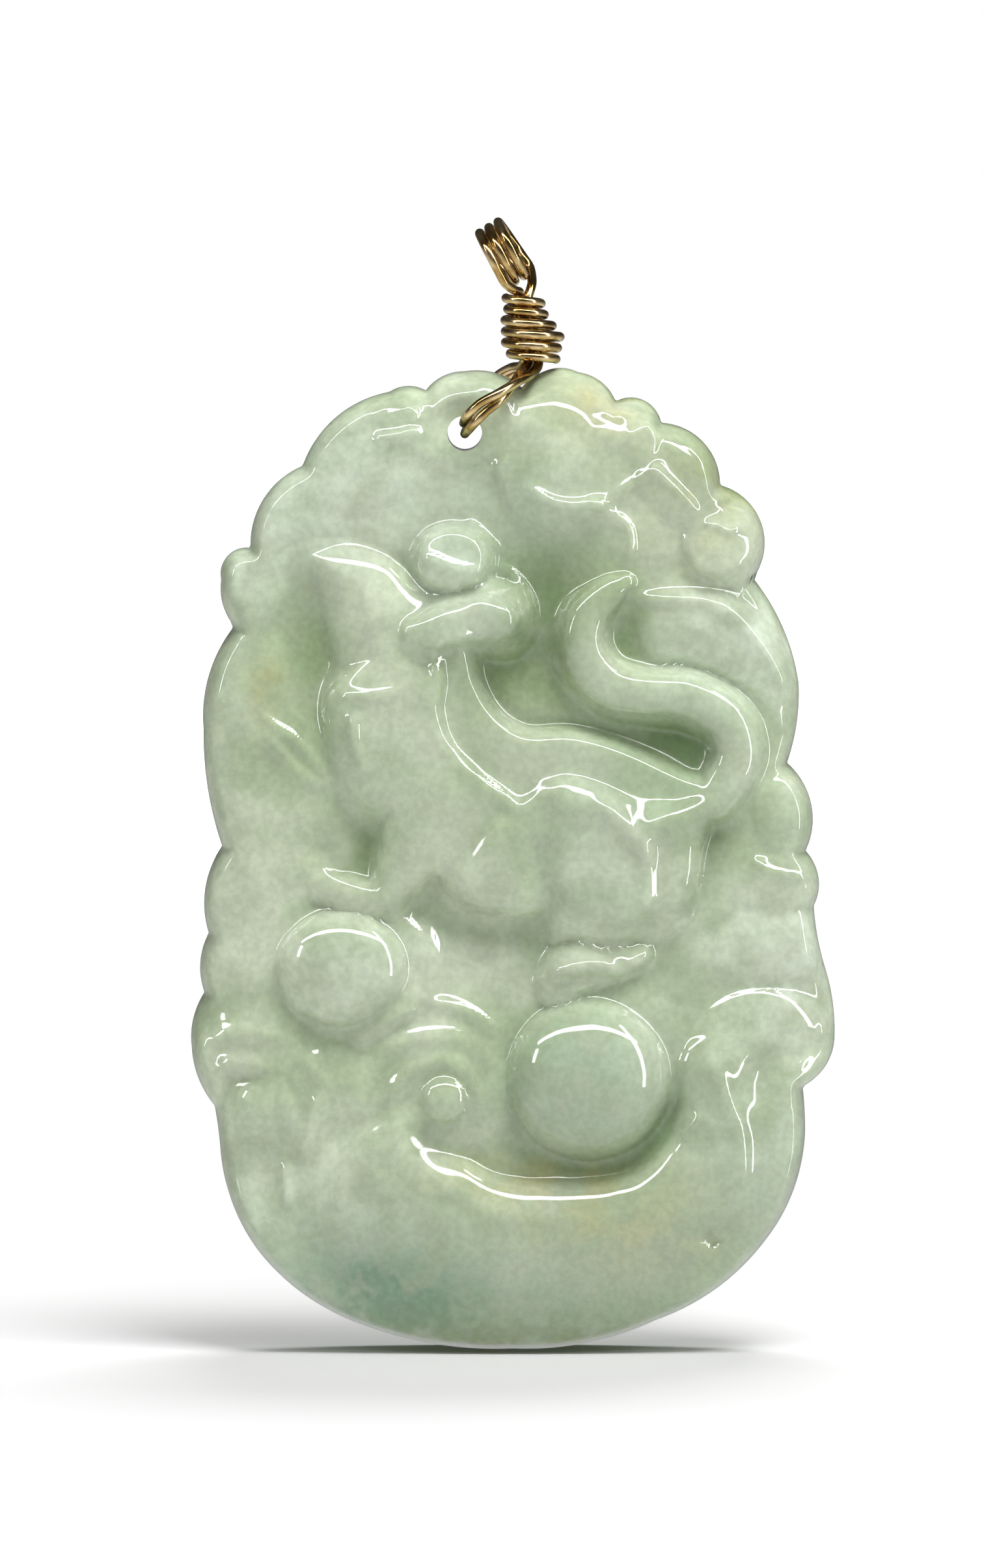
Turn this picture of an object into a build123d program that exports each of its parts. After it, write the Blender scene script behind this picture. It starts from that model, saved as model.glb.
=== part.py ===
from build123d import *
import os

import numpy as np

# Carved jade pendant hung on a loop of gold-coloured wire, in millimetres. +Z is up and the front faces -Y.
# The origin is the inside top of the wire loop, where a chain bears.

# Jade plaque, with the thickness measured from its flat back
jade_width = 35.6
jade_height = 54.0
jade_thickness = 8.0
edge_height = 2.2
edge_round = 0.8
back_round = 0.9
back_crown = 0.35
back_plane = 2.4

# Drilled stringing hole
hole_diameter = 1.9
wire_clearance = 0.1

# Wire of the loop, neck and legs, which runs twice through the hole
wire_diameter = 0.52
strand_gap = 0.07
loop_bore = 2.75
loop_turns = 3
loop_lean = 31.0
neck_length = 4.75
neck_lean = 9.2
leg_side = 3.77
leg_drop = 3.49
leg_twist = 180.0

# Wraps round the neck
wrap_pitch = 0.62
wrap_foot_gap = 0.1

# Fineness of the meshed forms
grid_across = 54
grid_up = 80
arc_steps = 10
curve_steps = 6
wire_sides = 6
steps_per_turn = 14
wire_step = 0.42

half_width = jade_width / 2
half_height = jade_height / 2
wire_radius = wire_diameter / 2
strand_offset = wire_radius + strand_gap / 2
pair_reach = wire_diameter + strand_gap / 2
loop_radius = loop_bore / 2 + wire_radius

# Place of the hole, as shares of the half width and half height from the plaque's middle
hole_across = -0.148
hole_up = 0.875

# Form levels and blends, as shares of the plaque's thickness
ground_edge = 0.575
ground_swell = 0.09
well_depth = 0.075
rim_fall = 0.14
leg_level = 0.69

# Share of the way out, squared, where the front starts to fall towards the rim, and the fall's power
rim_start = 0.42
rim_curve = 1.4

# Steepness of the forms' sides, and a rod's rise as a share of its radius
side_slope = 1.3
rod_rise = 0.7

# Widths, as shares of the plaque's half width, and lengths of carved lines
well_slope = 0.3
stroke_fade = 0.22
stroke_reach = 1.4
grid_crowding = 1.2

# Turns in degrees at which the rounded back edge is cut into rings
back_round_turns = (0, 45, 90)

# Course of the neck and of the legs, as shares of the neck's length and of the way to the hole
neck_front = -0.063
neck_ways = (0.24, 0.4, 0.6, 0.8, 1.0)
loop_pitch = wire_diameter + strand_gap
loop_lead = 60
# Run of the wire from the neck to the chain loop, from its middle: across as shares of the strands' pitch,
# out to the front and down as shares of the loop's radius
lead_rows = [(0.62, 0.16, 1.42), (0.98, 0.46, 1.23), (1.36, 0.76, 0.87)]
# across, down, out
front_leg_rows = [
    (0.10, 0.14, 0.33), (0.27, 0.31, 0.76), (0.49, 0.50, 0.98), (0.73, 0.67, 1.0), (0.91, 0.86, 0.92),
    (1.0, 1.0, 0.6), (1.0, 1.0, 0.2),
]
back_leg_rows = [
    (1.0, 1.0, 0.2), (1.0, 1.0, 0.55), (0.99, 0.98, 0.85), (0.88, 0.76, 1.02), (0.66, 0.43, 1.03),
    (0.45, 0.21, 0.98), (0.25, 0.08, 0.60), (0.10, 0.04, 0.27), (0.04, -0.12, 0.16), (0.03, -0.30, 0.16),
    (0.02, -0.42, 0.16),
]
# share of the doubled wire's length, share of the twist reached there
twist_ways = (0, 0.2, 0.45, 1)
twist_shares = (0, 0, 1, 1)
tube_side = (0.3, 0.9, 0.2)

# Wraps from the top: side shift and radius, as shares of the wire's diameter
wrap_rows = [
    (0.05, 1.8), (0.05, 1.82), (0.0, 2.4), (0.5, 2.9), (0.16, 2.8), (0.18, 2.3),
]
wrap_start = 0.25
wrap_tail = 0.25

# Outline, clockwise: across, up, swell of the arc that comes from the row before
outline_rows = [
    (-0.269, 0.96, 0.016), (-0.15, 0.999, 0.016), (-0.029, 0.991, 0.008), (0.027, 0.965, 0.006),
    (0.098, 0.999, 0.006), (0.203, 0.997, 0.012), (0.32, 0.938, 0.02), (0.461, 0.894, 0.04),
    (0.643, 0.767, 0.054), (0.746, 0.577, 0.081), (0.887, 0.362, 0.024), (0.851, 0.199, 0.012),
    (0.909, 0.019, 0.048), (0.935, -0.093, 0.028), (0.972, -0.223, -0.006), (1.0, -0.356, 0.008),
    (0.901, -0.463, 0.028), (0.909, -0.556, 0.002), (0.788, -0.775, 0.028), (0.447, -0.941, 0.032),
    (0.001, -1.0, 0.028), (-0.463, -0.952, 0.024), (-0.786, -0.802, 0.028), (-0.907, -0.596, 0.024),
    (-0.925, -0.503, -0.002), (-0.996, -0.383, 0.016), (-0.956, -0.271, 0.016), (-0.943, -0.149, 0.02),
    (-0.901, 0.029, 0.032), (-0.958, 0.269, 0.016), (-0.863, 0.479, 0.032), (-0.903, 0.574, 0.016),
    (-0.812, 0.638, 0.036), (-0.651, 0.806, 0.048), (-0.382, 0.957, 0.048),
]

# Ground that is hollowed round the mouse: across, up
well_rows = [
    (-0.726, 0.574), (-0.584, 0.628), (-0.423, 0.674), (-0.282, 0.721), (0.021, 0.727), (0.284, 0.654),
    (0.384, 0.561), (0.627, 0.521), (0.788, 0.388), (0.728, 0.189), (0.667, 0.029), (0.647, -0.13),
    (0.506, -0.237), (0.445, -0.316), (-0.019, -0.343), (-0.302, -0.316), (-0.726, -0.316),
    (-0.766, -0.104), (-0.726, 0.096), (-0.766, 0.322), (-0.786, 0.481),
]

# Swellings of the border: name, across, up, wide, high, turn, low, top, blend
cloud_rows = [
    ("cloud_left", -0.423, 0.84, 0.272, 0.165, -35, 0.537, 0.688, 0.1),
    ("cloud_far_left", -0.695, 0.694, 0.202, 0.145, -42, 0.537, 0.675, 0.1),
    ("cloud_left_knob", -0.814, 0.559, 0.117, 0.125, 0, 0.537, 0.675, 0.087),
    ("cloud_left_swirl", -0.346, 0.894, 0.093, 0.077, 0, 0.65, 0.719, 0.037),
    ("cloud_hole", -0.136, 0.907, 0.202, 0.145, 0, 0.575, 0.713, 0.062),
    ("cloud_top", 0.158, 0.822, 0.218, 0.222, 27, 0.613, 0.738, 0.075),
    ("cloud_top_knob", 0.296, 0.88, 0.085, 0.085, 0, 0.65, 0.75, 0.037),
    ("cloud_small", 0.393, 0.864, 0.077, 0.085, 0, 0.637, 0.738, 0.031),
    ("cloud_right", 0.518, 0.785, 0.178, 0.133, 48, 0.625, 0.762, 0.037),
    ("cloud_far_right", 0.651, 0.652, 0.133, 0.121, 10, 0.625, 0.762, 0.031),
    ("cloud_inner", 0.395, 0.727, 0.182, 0.161, 20, 0.613, 0.688, 0.062),
    ("right_knob", 0.845, 0.096, 0.105, 0.129, 0, 0.575, 0.681, 0.05),
    ("right_leaf", 0.828, -0.04, 0.153, 0.093, -6, 0.6, 0.675, 0.05),
    ("right_swell", 0.808, -0.17, 0.202, 0.113, -4, 0.575, 0.675, 0.075),
    ("left_swell", -0.826, 0.269, 0.161, 0.363, 0, 0.525, 0.65, 0.1),
    ("left_low_swell", -0.855, -0.064, 0.145, 0.165, 0, 0.525, 0.65, 0.087),
    ("left_knob", -0.863, -0.213, 0.125, 0.141, 0, 0.525, 0.65, 0.087),
    ("left_pad", -0.681, 0.069, 0.202, 0.202, 0, 0.55, 0.65, 0.075),
]

# Swellings of the figures: name, across, up, wide, high, turn, low, top, blend
dome_rows = [
    ("leaf_bud", -0.661, 0.235, 0.077, 0.141, -38, 0.6, 0.637, 0.062),
    ("chest", -0.382, 0.269, 0.178, 0.242, 0, 0.725, 0.812, 0.056),
    ("belly", -0.035, 0.04, 0.226, 0.218, 0, 0.625, 0.812, 0.044),
    ("thigh_fold", 0.284, -0.117, 0.186, 0.073, 0, 0.625, 0.738, 0.037),
    ("left_fruit_ring", -0.491, -0.215, 0.25, 0.21, 0, 0.6, 0.681, 0.05),
    ("left_fruit", -0.528, -0.215, 0.206, 0.182, 0, 0.625, 0.863, 0.031),
    ("fruit_ring", 0.304, -0.39, 0.246, 0.25, 0, 0.6, 0.713, 0.037),
    ("big_fruit", 0.233, -0.436, 0.262, 0.254, 0, 0.588, 0.963, 0.015),
    ("left_scroll_bed", -0.802, -0.449, 0.226, 0.262, 0, 0.575, 0.725, 0.075),
    ("left_scroll_knob", -0.78, -0.505, 0.087, 0.093, 0, 0.713, 0.781, 0.019),
    ("middle_scroll_bed", -0.221, -0.449, 0.242, 0.238, 0, 0.588, 0.75, 0.05),
    ("middle_scroll_knob", -0.211, -0.479, 0.077, 0.077, 0, 0.725, 0.838, 0.019),
    ("right_scroll", 0.768, -0.418, 0.25, 0.25, 0, 0.613, 0.762, 0.062),
    ("right_fill", 0.818, -0.556, 0.202, 0.182, 0, 0.613, 0.787, 0.087),
    ("left_fill", -0.766, -0.589, 0.242, 0.182, 20, 0.6, 0.75, 0.1),
    ("left_link", -0.554, -0.489, 0.17, 0.178, 0, 0.6, 0.738, 0.075),
    ("scroll_tip", 0.861, -0.423, 0.101, 0.052, -22, 0.662, 0.744, 0.031),
]

# Hollows: name, across, up, wide, high, turn, depth
dent_rows = [
    ("hole_funnel", -0.181, 0.907, 0.093, 0.073, 0, 0.069),
    ("front_of_nose", 0.086, 0.604, 0.109, 0.137, -20, 0.056),
    ("under_chin", 0.058, 0.408, 0.137, 0.113, 0, 0.056),
    ("under_tail_tip", 0.352, 0.479, 0.089, 0.093, 0, 0.037),
    ("over_rump", 0.506, 0.269, 0.149, 0.073, 20, 0.044),
    ("beside_neck", -0.661, 0.448, 0.113, 0.25, -6, 0.037),
    ("under_belly", -0.15, -0.13, 0.242, 0.093, 6, 0.062),
    ("over_paw", -0.471, 0.069, 0.101, 0.153, 20, 0.025),
    ("behind_rump", 0.619, 0.062, 0.069, 0.077, 0, 0.037),
    ("leaf_pit", -0.584, 0.029, 0.024, 0.02, 0, 0.031),
]

# Rods: name, blend, and rows of across, up, radius, top
rods = {
    "snout": (0.015, [
        (-0.306, 0.473, 0.044, 0.806), (-0.245, 0.479, 0.061, 0.838), (-0.181, 0.491, 0.071, 0.856),
        (-0.096, 0.501, 0.077, 0.863), (-0.047, 0.497, 0.069, 0.856),
    ]),
    "front_leg": (0.037, [
        (-0.205, 0.154, 0.129, 0.838), (-0.261, 0.089, 0.125, 0.844), (-0.326, 0.005, 0.089, 0.8),
        (-0.382, -0.061, 0.054, 0.75),
    ]),
    "paw": (0.025, [
        (-0.374, -0.08, 0.048, 0.725), (-0.473, -0.069, 0.052, 0.725), (-0.574, -0.045, 0.052, 0.713),
        (-0.625, -0.011, 0.04, 0.688),
    ]),
    "hock": (0.025, [
        (0.506, -0.101, 0.052, 0.7), (0.384, -0.146, 0.048, 0.7), (0.263, -0.162, 0.044, 0.688),
        (0.146, -0.144, 0.04, 0.675),
    ]),
    "hind_foot": (0.025, [
        (0.395, -0.186, 0.036, 0.725), (0.294, -0.205, 0.061, 0.75), (0.193, -0.215, 0.085, 0.787),
        (0.146, -0.247, 0.077, 0.762),
    ]),
    "tail": (0.025, [
        (0.627, 0.133, 0.069, 0.775), (0.683, 0.189, 0.075, 0.775), (0.697, 0.239, 0.075, 0.775),
        (0.657, 0.298, 0.073, 0.775), (0.546, 0.34, 0.069, 0.775), (0.425, 0.348, 0.069, 0.775),
        (0.314, 0.359, 0.071, 0.775), (0.239, 0.399, 0.073, 0.775), (0.215, 0.455, 0.069, 0.762),
        (0.239, 0.511, 0.061, 0.75), (0.304, 0.555, 0.048, 0.725), (0.348, 0.574, 0.032, 0.688),
    ]),
    "fruit_stem": (0.025, [
        (-0.463, -0.354, 0.044, 0.7), (-0.382, -0.306, 0.052, 0.725), (-0.302, -0.277, 0.044, 0.713),
    ]),
    "middle_band": (0.031, [
        (-0.245, -0.285, 0.04, 0.675), (-0.14, -0.297, 0.048, 0.681), (-0.049, -0.343, 0.048, 0.681),
        (0.021, -0.396, 0.036, 0.65),
    ]),
    "right_scroll_root": (0.087, [
        (0.623, -0.423, 0.121, 0.787), (0.651, -0.516, 0.153, 0.825), (0.617, -0.622, 0.174, 0.838),
        (0.506, -0.715, 0.174, 0.825),
    ]),
}

# Fields with a rounded border: name, low, top, slope, blend, and rows of across, up
plates = {
    "tail_panel": (0.588, 0.675, 0.141, 0.037, [
        (0.445, 0.559), (0.546, 0.566), (0.687, 0.548), (0.788, 0.481), (0.859, 0.388), (0.839, 0.269),
        (0.758, 0.315), (0.647, 0.382), (0.526, 0.412), (0.435, 0.415), (0.374, 0.495),
    ]),
    "right_ear": (0.688, 0.775, 0.028, 0.019, [
        (-0.185, 0.686), (-0.108, 0.668), (-0.076, 0.62), (-0.108, 0.574), (-0.185, 0.556),
        (-0.265, 0.574), (-0.298, 0.62), (-0.265, 0.668),
    ]),
    "back_strip": (0.625, 0.744, 0.048, 0.019, [
        (-0.173, 0.465), (-0.12, 0.439), (-0.1, 0.372), (-0.047, 0.311), (0.041, 0.274),
        (0.183, 0.274), (0.344, 0.245), (0.526, 0.189), (0.627, 0.168), (0.627, 0.116), (0.425, 0.076),
        (0.142, 0.109), (-0.06, 0.136), (-0.221, 0.229), (-0.253, 0.348),
    ]),
    "haunch": (0.762, 0.838, 0.121, 0.031, [
        (0.166, 0.178), (0.284, 0.157), (0.374, 0.12), (0.431, 0.062), (0.449, -0.011),
        (0.433, -0.088), (0.324, -0.12), (0.183, -0.124), (0.106, -0.077), (0.078, 0.005),
        (0.09, 0.096), (0.114, 0.157),
    ]),
    "flank": (0.662, 0.806, 0.101, 0.015, [
        (-0.201, 0.428), (-0.185, 0.378), (-0.193, 0.315), (-0.16, 0.255), (-0.084, 0.202),
        (-0.009, 0.166), (0.031, 0.152), (0.06, 0.181), (0.12, 0.194), (0.231, 0.178), (0.324, 0.164),
        (0.461, 0.145), (0.546, 0.152), (0.61, 0.165), (0.647, 0.199), (0.724, 0.197), (0.728, 0.16),
        (0.671, 0.114), (0.61, 0.085), (0.586, 0.035), (0.578, -0.024), (0.546, -0.093),
        (0.445, -0.12), (0.284, -0.117), (0.162, -0.104), (-0.019, -0.104), (-0.14, -0.084),
        (-0.237, -0.024), (-0.302, -0.031), (-0.403, 0.029), (-0.403, 0.129), (-0.493, 0.169),
        (-0.56, 0.229), (-0.58, 0.309), (-0.564, 0.351), (-0.52, 0.38), (-0.443, 0.39),
        (-0.342, 0.399), (-0.261, 0.42),
    ]),
    "left_ear": (0.55, 0.75, 0.182, 0.007, [
        (-0.73, 0.644), (-0.669, 0.657), (-0.574, 0.662), (-0.463, 0.654), (-0.374, 0.63),
        (-0.294, 0.585), (-0.181, 0.555), (-0.068, 0.521), (-0.06, 0.441), (-0.16, 0.348),
        (-0.201, 0.282), (-0.382, 0.255), (-0.524, 0.282), (-0.556, 0.375), (-0.572, 0.448),
        (-0.592, 0.515), (-0.621, 0.564), (-0.677, 0.606),
    ]),
    "base": (0.613, 0.875, 0.232, 0.062, [
        (-0.927, -0.66), (-0.746, -0.606), (-0.604, -0.566), (-0.524, -0.543), (-0.433, -0.516),
        (-0.362, -0.492), (-0.292, -0.495), (-0.257, -0.56), (-0.14, -0.6), (-0.039, -0.636),
        (0.122, -0.646), (0.304, -0.641), (0.425, -0.606), (0.526, -0.547), (0.596, -0.487),
        (0.728, -0.513), (0.95, -0.553), (1.03, -0.769), (0.627, -1.008), (0.001, -1.088),
        (-0.625, -1.008), (-0.988, -0.835),
    ]),
}

# Carved lines: name, width, rise, drop on the right, and rows of across, up
lines = {
    "scroll_hollow": (0.065, -0.081, 0.0, [
        (0.732, -0.503), (0.736, -0.441), (0.772, -0.404), (0.845, -0.383), (0.946, -0.391),
        (1.03, -0.423),
    ]),
    "scroll_tip_edge": (0.014, 0.01, 0.0, [
        (0.82, -0.378), (0.873, -0.372), (0.921, -0.38), (0.905, -0.404), (0.865, -0.431),
    ]),
    "chin_edge": (0.016, 0.033, 0.0, [
        (-0.076, 0.449), (-0.136, 0.465), (-0.201, 0.46), (-0.237, 0.436), (-0.241, 0.407),
        (-0.229, 0.38), (-0.229, 0.348), (-0.237, 0.309),
    ]),
    "front_edge": (0.022, 0.025, 0.0, [
        (-0.201, 0.428), (-0.237, 0.375), (-0.245, 0.332), (-0.241, 0.301), (-0.225, 0.269),
        (-0.191, 0.231), (-0.124, 0.186), (-0.06, 0.152), (0.017, 0.117), (0.066, 0.133),
        (0.122, 0.154), (0.191, 0.16),
    ]),
    "leg_crease": (0.032, -0.035, 0.0, [
        (0.001, 0.142), (-0.06, 0.102), (-0.11, 0.056), (-0.181, 0.005), (-0.271, -0.037),
    ]),
    "chest_edge": (0.02, 0.043, 0.0, [
        (-0.487, 0.322), (-0.491, 0.282), (-0.485, 0.242), (-0.467, 0.21), (-0.447, 0.176),
    ]),
    "head_swell": (0.117, 0.056, 0.0, [
        (-0.423, 0.402), (-0.378, 0.426), (-0.302, 0.464), (-0.213, 0.487), (-0.104, 0.495),
    ]),
    "neck_crease": (0.048, -0.018, 0.0, [
        (-0.625, 0.418), (-0.544, 0.407), (-0.443, 0.399), (-0.342, 0.402), (-0.257, 0.426),
    ]),
    "behind_ear": (0.016, 0.033, 0.0, [
        (-0.156, 0.699), (-0.112, 0.684), (-0.076, 0.662), (-0.035, 0.633),
    ]),
    "behind_snout": (0.016, 0.037, 0.0, [
        (-0.051, 0.612), (-0.007, 0.593), (0.029, 0.566), (0.049, 0.532), (0.053, 0.5),
    ]),
    "ear_top_groove": (0.018, -0.02, 0.0, [
        (-0.766, 0.625), (-0.705, 0.644), (-0.645, 0.66), (-0.544, 0.668), (-0.459, 0.658),
        (-0.378, 0.633), (-0.31, 0.596), (-0.253, 0.561),
    ]),
    "ear_swell": (0.069, 0.033, 0.0, [
        (-0.302, 0.604), (-0.229, 0.601), (-0.169, 0.596), (-0.1, 0.593), (-0.043, 0.588),
    ]),
    "ear_streak": (0.022, 0.025, 0.0, [
        (-0.302, 0.638), (-0.245, 0.622), (-0.201, 0.609), (-0.156, 0.601), (-0.116, 0.597),
        (-0.064, 0.58),
    ]),
    "collar": (0.018, 0.013, 0.0, [
        (-0.556, 0.348), (-0.512, 0.346), (-0.459, 0.344), (-0.403, 0.347), (-0.35, 0.355),
        (-0.302, 0.367),
    ]),
    "back_groove": (0.024, -0.019, 0.0, [
        (-0.108, 0.441), (-0.076, 0.372), (-0.023, 0.316), (0.053, 0.285), (0.191, 0.285),
        (0.354, 0.255), (0.526, 0.199),
    ]),
    "panel_rim": (0.02, 0.037, 0.0, [
        (0.344, 0.537), (0.425, 0.541), (0.506, 0.54), (0.586, 0.537), (0.687, 0.516),
    ]),
    "panel_rim_right": (0.028, 0.052, 0.0, [
        (0.578, 0.545), (0.647, 0.527), (0.711, 0.492), (0.768, 0.447), (0.812, 0.402), (0.841, 0.354),
        (0.849, 0.309),
    ]),
    "panel_foot": (0.018, -0.028, 0.0, [
        (0.314, 0.441), (0.348, 0.412), (0.405, 0.398), (0.526, 0.4), (0.627, 0.38), (0.728, 0.343),
        (0.808, 0.266),
    ]),
    "belly_fold": (0.044, -0.033, 0.0, [
        (0.098, 0.069), (0.082, 0.016), (0.098, -0.051), (0.146, -0.12),
    ]),
    "haunch_edge": (0.03, 0.037, 0.0, [
        (0.506, 0.128), (0.445, 0.09), (0.413, 0.043), (0.415, -0.011), (0.417, -0.074),
        (0.409, -0.13),
    ]),
    "haunch_top": (0.044, 0.03, 0.0, [
        (0.062, 0.114), (0.142, 0.128), (0.223, 0.122), (0.314, 0.101), (0.395, 0.08), (0.506, 0.088),
        (0.606, 0.112), (0.667, 0.141),
    ]),
    "haunch_fork": (0.022, 0.037, 0.0, [
        (0.253, 0.144), (0.304, 0.109), (0.356, 0.072), (0.409, 0.029), (0.417, -0.011),
    ]),
    "belly_ridge": (0.018, 0.013, 0.0, [
        (-0.169, -0.037), (-0.124, -0.004), (-0.084, 0.04), (-0.049, 0.08), (-0.023, 0.109),
    ]),
    "under_haunch": (0.024, -0.025, 0.0, [
        (0.122, -0.104), (0.263, -0.12), (0.405, -0.106),
    ]),
    "under_hock": (0.02, -0.028, 0.0, [
        (0.122, -0.144), (0.284, -0.173), (0.445, -0.15),
    ]),
    "top_bevel": (0.057, -0.05, 0.0, [
        (-0.019, 1.005), (0.045, 0.997), (0.098, 1.016), (0.175, 1.008), (0.253, 0.973),
        (0.314, 0.931),
    ]),
    "top_bar": (0.026, 0.02, 0.0, [
        (0.013, 0.932), (0.066, 0.918), (0.122, 0.896), (0.179, 0.875), (0.223, 0.858),
    ]),
    "cloud_edge": (0.022, 0.035, 0.0, [
        (0.001, 0.779), (0.074, 0.753), (0.114, 0.737), (0.166, 0.729), (0.223, 0.73), (0.284, 0.739),
        (0.348, 0.765), (0.429, 0.798), (0.485, 0.827),
    ]),
    "cloud_lip": (0.024, 0.016, 0.0, [
        (0.013, 0.777), (0.086, 0.746), (0.154, 0.729), (0.231, 0.73), (0.3, 0.742),
    ]),
    "cloud_curl": (0.016, 0.035, 0.0, [
        (0.223, 0.753), (0.267, 0.73), (0.312, 0.71), (0.352, 0.69), (0.364, 0.66), (0.364, 0.62),
        (0.364, 0.588),
    ]),
    "cloud_fold": (0.014, 0.01, 0.0, [
        (0.304, 0.747), (0.364, 0.737), (0.405, 0.714), (0.433, 0.674),
    ]),
    "cloud_facet": (0.018, 0.025, 0.0, [
        (0.506, 0.747), (0.431, 0.806), (0.457, 0.827), (0.485, 0.838), (0.542, 0.787), (0.598, 0.734),
        (0.566, 0.717), (0.485, 0.763),
    ]),
    "far_cloud_top": (0.016, 0.03, 0.0, [
        (0.578, 0.689), (0.627, 0.691), (0.667, 0.678), (0.724, 0.691),
    ]),
    "far_cloud_low": (0.016, 0.025, 0.0, [
        (0.538, 0.641), (0.566, 0.612), (0.61, 0.596), (0.677, 0.606), (0.744, 0.617),
    ]),
    "small_cloud_ring": (0.014, 0.025, 0.0, [
        (0.352, 0.848), (0.372, 0.875), (0.417, 0.891), (0.437, 0.875), (0.425, 0.84), (0.38, 0.827),
    ]),
    "hole_rim": (0.016, 0.025, 0.0, [
        (-0.253, 0.894), (-0.233, 0.928), (-0.181, 0.949), (-0.09, 0.96),
    ]),
    "hole_rim_right": (0.016, 0.02, 0.0, [
        (-0.051, 0.955), (-0.019, 0.934), (0.001, 0.894),
    ]),
    "hole_brow": (0.02, 0.022, 0.0, [
        (-0.326, 0.864), (-0.273, 0.835), (-0.205, 0.809), (-0.12, 0.798), (-0.051, 0.811),
        (0.021, 0.838),
    ]),
    "swirl_line": (0.016, 0.03, 0.0, [
        (-0.443, 0.864), (-0.403, 0.867), (-0.35, 0.872), (-0.302, 0.878), (-0.273, 0.864),
    ]),
    "swirl_top": (0.012, 0.022, 0.0, [
        (-0.346, 0.918), (-0.322, 0.928), (-0.302, 0.918), (-0.31, 0.896),
    ]),
    "leaf_line": (0.016, 0.033, 0.0, [
        (-0.802, 0.311), (-0.766, 0.298), (-0.73, 0.279), (-0.689, 0.263), (-0.649, 0.237),
        (-0.608, 0.209), (-0.568, 0.176), (-0.536, 0.144),
    ]),
    "leaf_line_low": (0.018, 0.028, 0.0, [
        (-0.762, 0.279), (-0.738, 0.25), (-0.693, 0.21), (-0.649, 0.181), (-0.584, 0.162),
        (-0.544, 0.154),
    ]),
    "right_leaf_rim": (0.014, 0.018, 0.0, [
        (0.717, 0.029), (0.748, 0.008), (0.788, -0.013), (0.859, -0.024), (0.929, -0.032),
    ]),
    "ring_edge": (0.018, 0.018, 0.0, [
        (-0.302, -0.088), (-0.253, -0.144), (-0.233, -0.21), (-0.261, -0.269),
    ]),
    "toe_line": (0.02, 0.035, 0.0, [
        (0.07, -0.231), (0.122, -0.221), (0.193, -0.207), (0.263, -0.201), (0.316, -0.218),
        (0.356, -0.21), (0.405, -0.184), (0.445, -0.165),
    ]),
    "toe_groove": (0.016, -0.025, 0.0, [
        (0.094, -0.253), (0.183, -0.237), (0.273, -0.234), (0.344, -0.245),
    ]),
    "root_edge": (0.026, 0.028, 0.0, [
        (0.602, -0.364), (0.627, -0.415), (0.669, -0.487), (0.703, -0.553), (0.709, -0.629),
        (0.699, -0.697),
    ]),
    "root_spark": (0.016, 0.018, 0.0, [
        (0.506, -0.564), (0.546, -0.535), (0.59, -0.505),
    ]),
    "base_shoulder": (0.028, 0.011, 0.0, [
        (-0.403, -0.503), (-0.37, -0.54), (-0.302, -0.601), (-0.201, -0.654), (-0.104, -0.702),
        (0.001, -0.715), (0.142, -0.718), (0.334, -0.713), (0.437, -0.673), (0.538, -0.59),
    ]),
    "stem_mark": (0.02, 0.033, 0.0, [
        (-0.427, -0.343), (-0.382, -0.319), (-0.338, -0.303), (-0.282, -0.298),
    ]),
    "band_line": (0.02, 0.03, 0.0, [
        (-0.286, -0.285), (-0.213, -0.287), (-0.124, -0.306), (-0.035, -0.348),
    ]),
    "fruit_groove": (0.03, -0.018, 0.0, [
        (-0.09, -0.523), (-0.019, -0.566), (0.122, -0.612), (0.263, -0.622), (0.395, -0.596),
        (0.485, -0.509), (0.526, -0.449),
    ]),
    "left_outer_ring": (0.032, 0.028, 0.0, [
        (-0.984, -0.489), (-0.98, -0.423), (-0.952, -0.378), (-0.897, -0.351), (-0.816, -0.346),
        (-0.726, -0.352), (-0.661, -0.376), (-0.617, -0.412), (-0.592, -0.463), (-0.588, -0.516),
    ]),
    "left_inner_ring": (0.03, 0.037, 0.0, [
        (-0.907, -0.543), (-0.927, -0.489), (-0.919, -0.439), (-0.883, -0.41), (-0.826, -0.41),
        (-0.766, -0.426), (-0.709, -0.457), (-0.685, -0.509), (-0.693, -0.562),
    ]),
    "left_knob_groove": (0.02, -0.022, 0.0, [
        (-0.875, -0.566), (-0.897, -0.509), (-0.867, -0.449), (-0.78, -0.43), (-0.693, -0.452),
        (-0.665, -0.509), (-0.693, -0.566),
    ]),
    "middle_outer_ring": (0.032, 0.028, 0.0, [
        (-0.479, -0.529), (-0.479, -0.46), (-0.447, -0.412), (-0.386, -0.372), (-0.302, -0.354),
        (-0.201, -0.348), (-0.136, -0.362), (-0.088, -0.388), (-0.051, -0.431), (-0.039, -0.489),
        (-0.051, -0.543),
    ]),
    "middle_inner_ring": (0.026, 0.035, 0.0, [
        (-0.358, -0.543), (-0.37, -0.489), (-0.346, -0.439), (-0.292, -0.415), (-0.211, -0.399),
        (-0.148, -0.418), (-0.112, -0.46), (-0.104, -0.509), (-0.124, -0.556),
    ]),
    "scroll_spark": (0.018, 0.015, 0.0, [
        (-0.645, -0.415), (-0.6, -0.43), (-0.568, -0.443), (-0.536, -0.465),
    ]),
    "left_line": (0.02, 0.045, 0.0, [
        (-0.6, -0.455), (-0.608, -0.496), (-0.625, -0.543), (-0.649, -0.588), (-0.669, -0.617),
    ]),
    "left_line_low": (0.018, 0.052, 0.0, [
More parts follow.
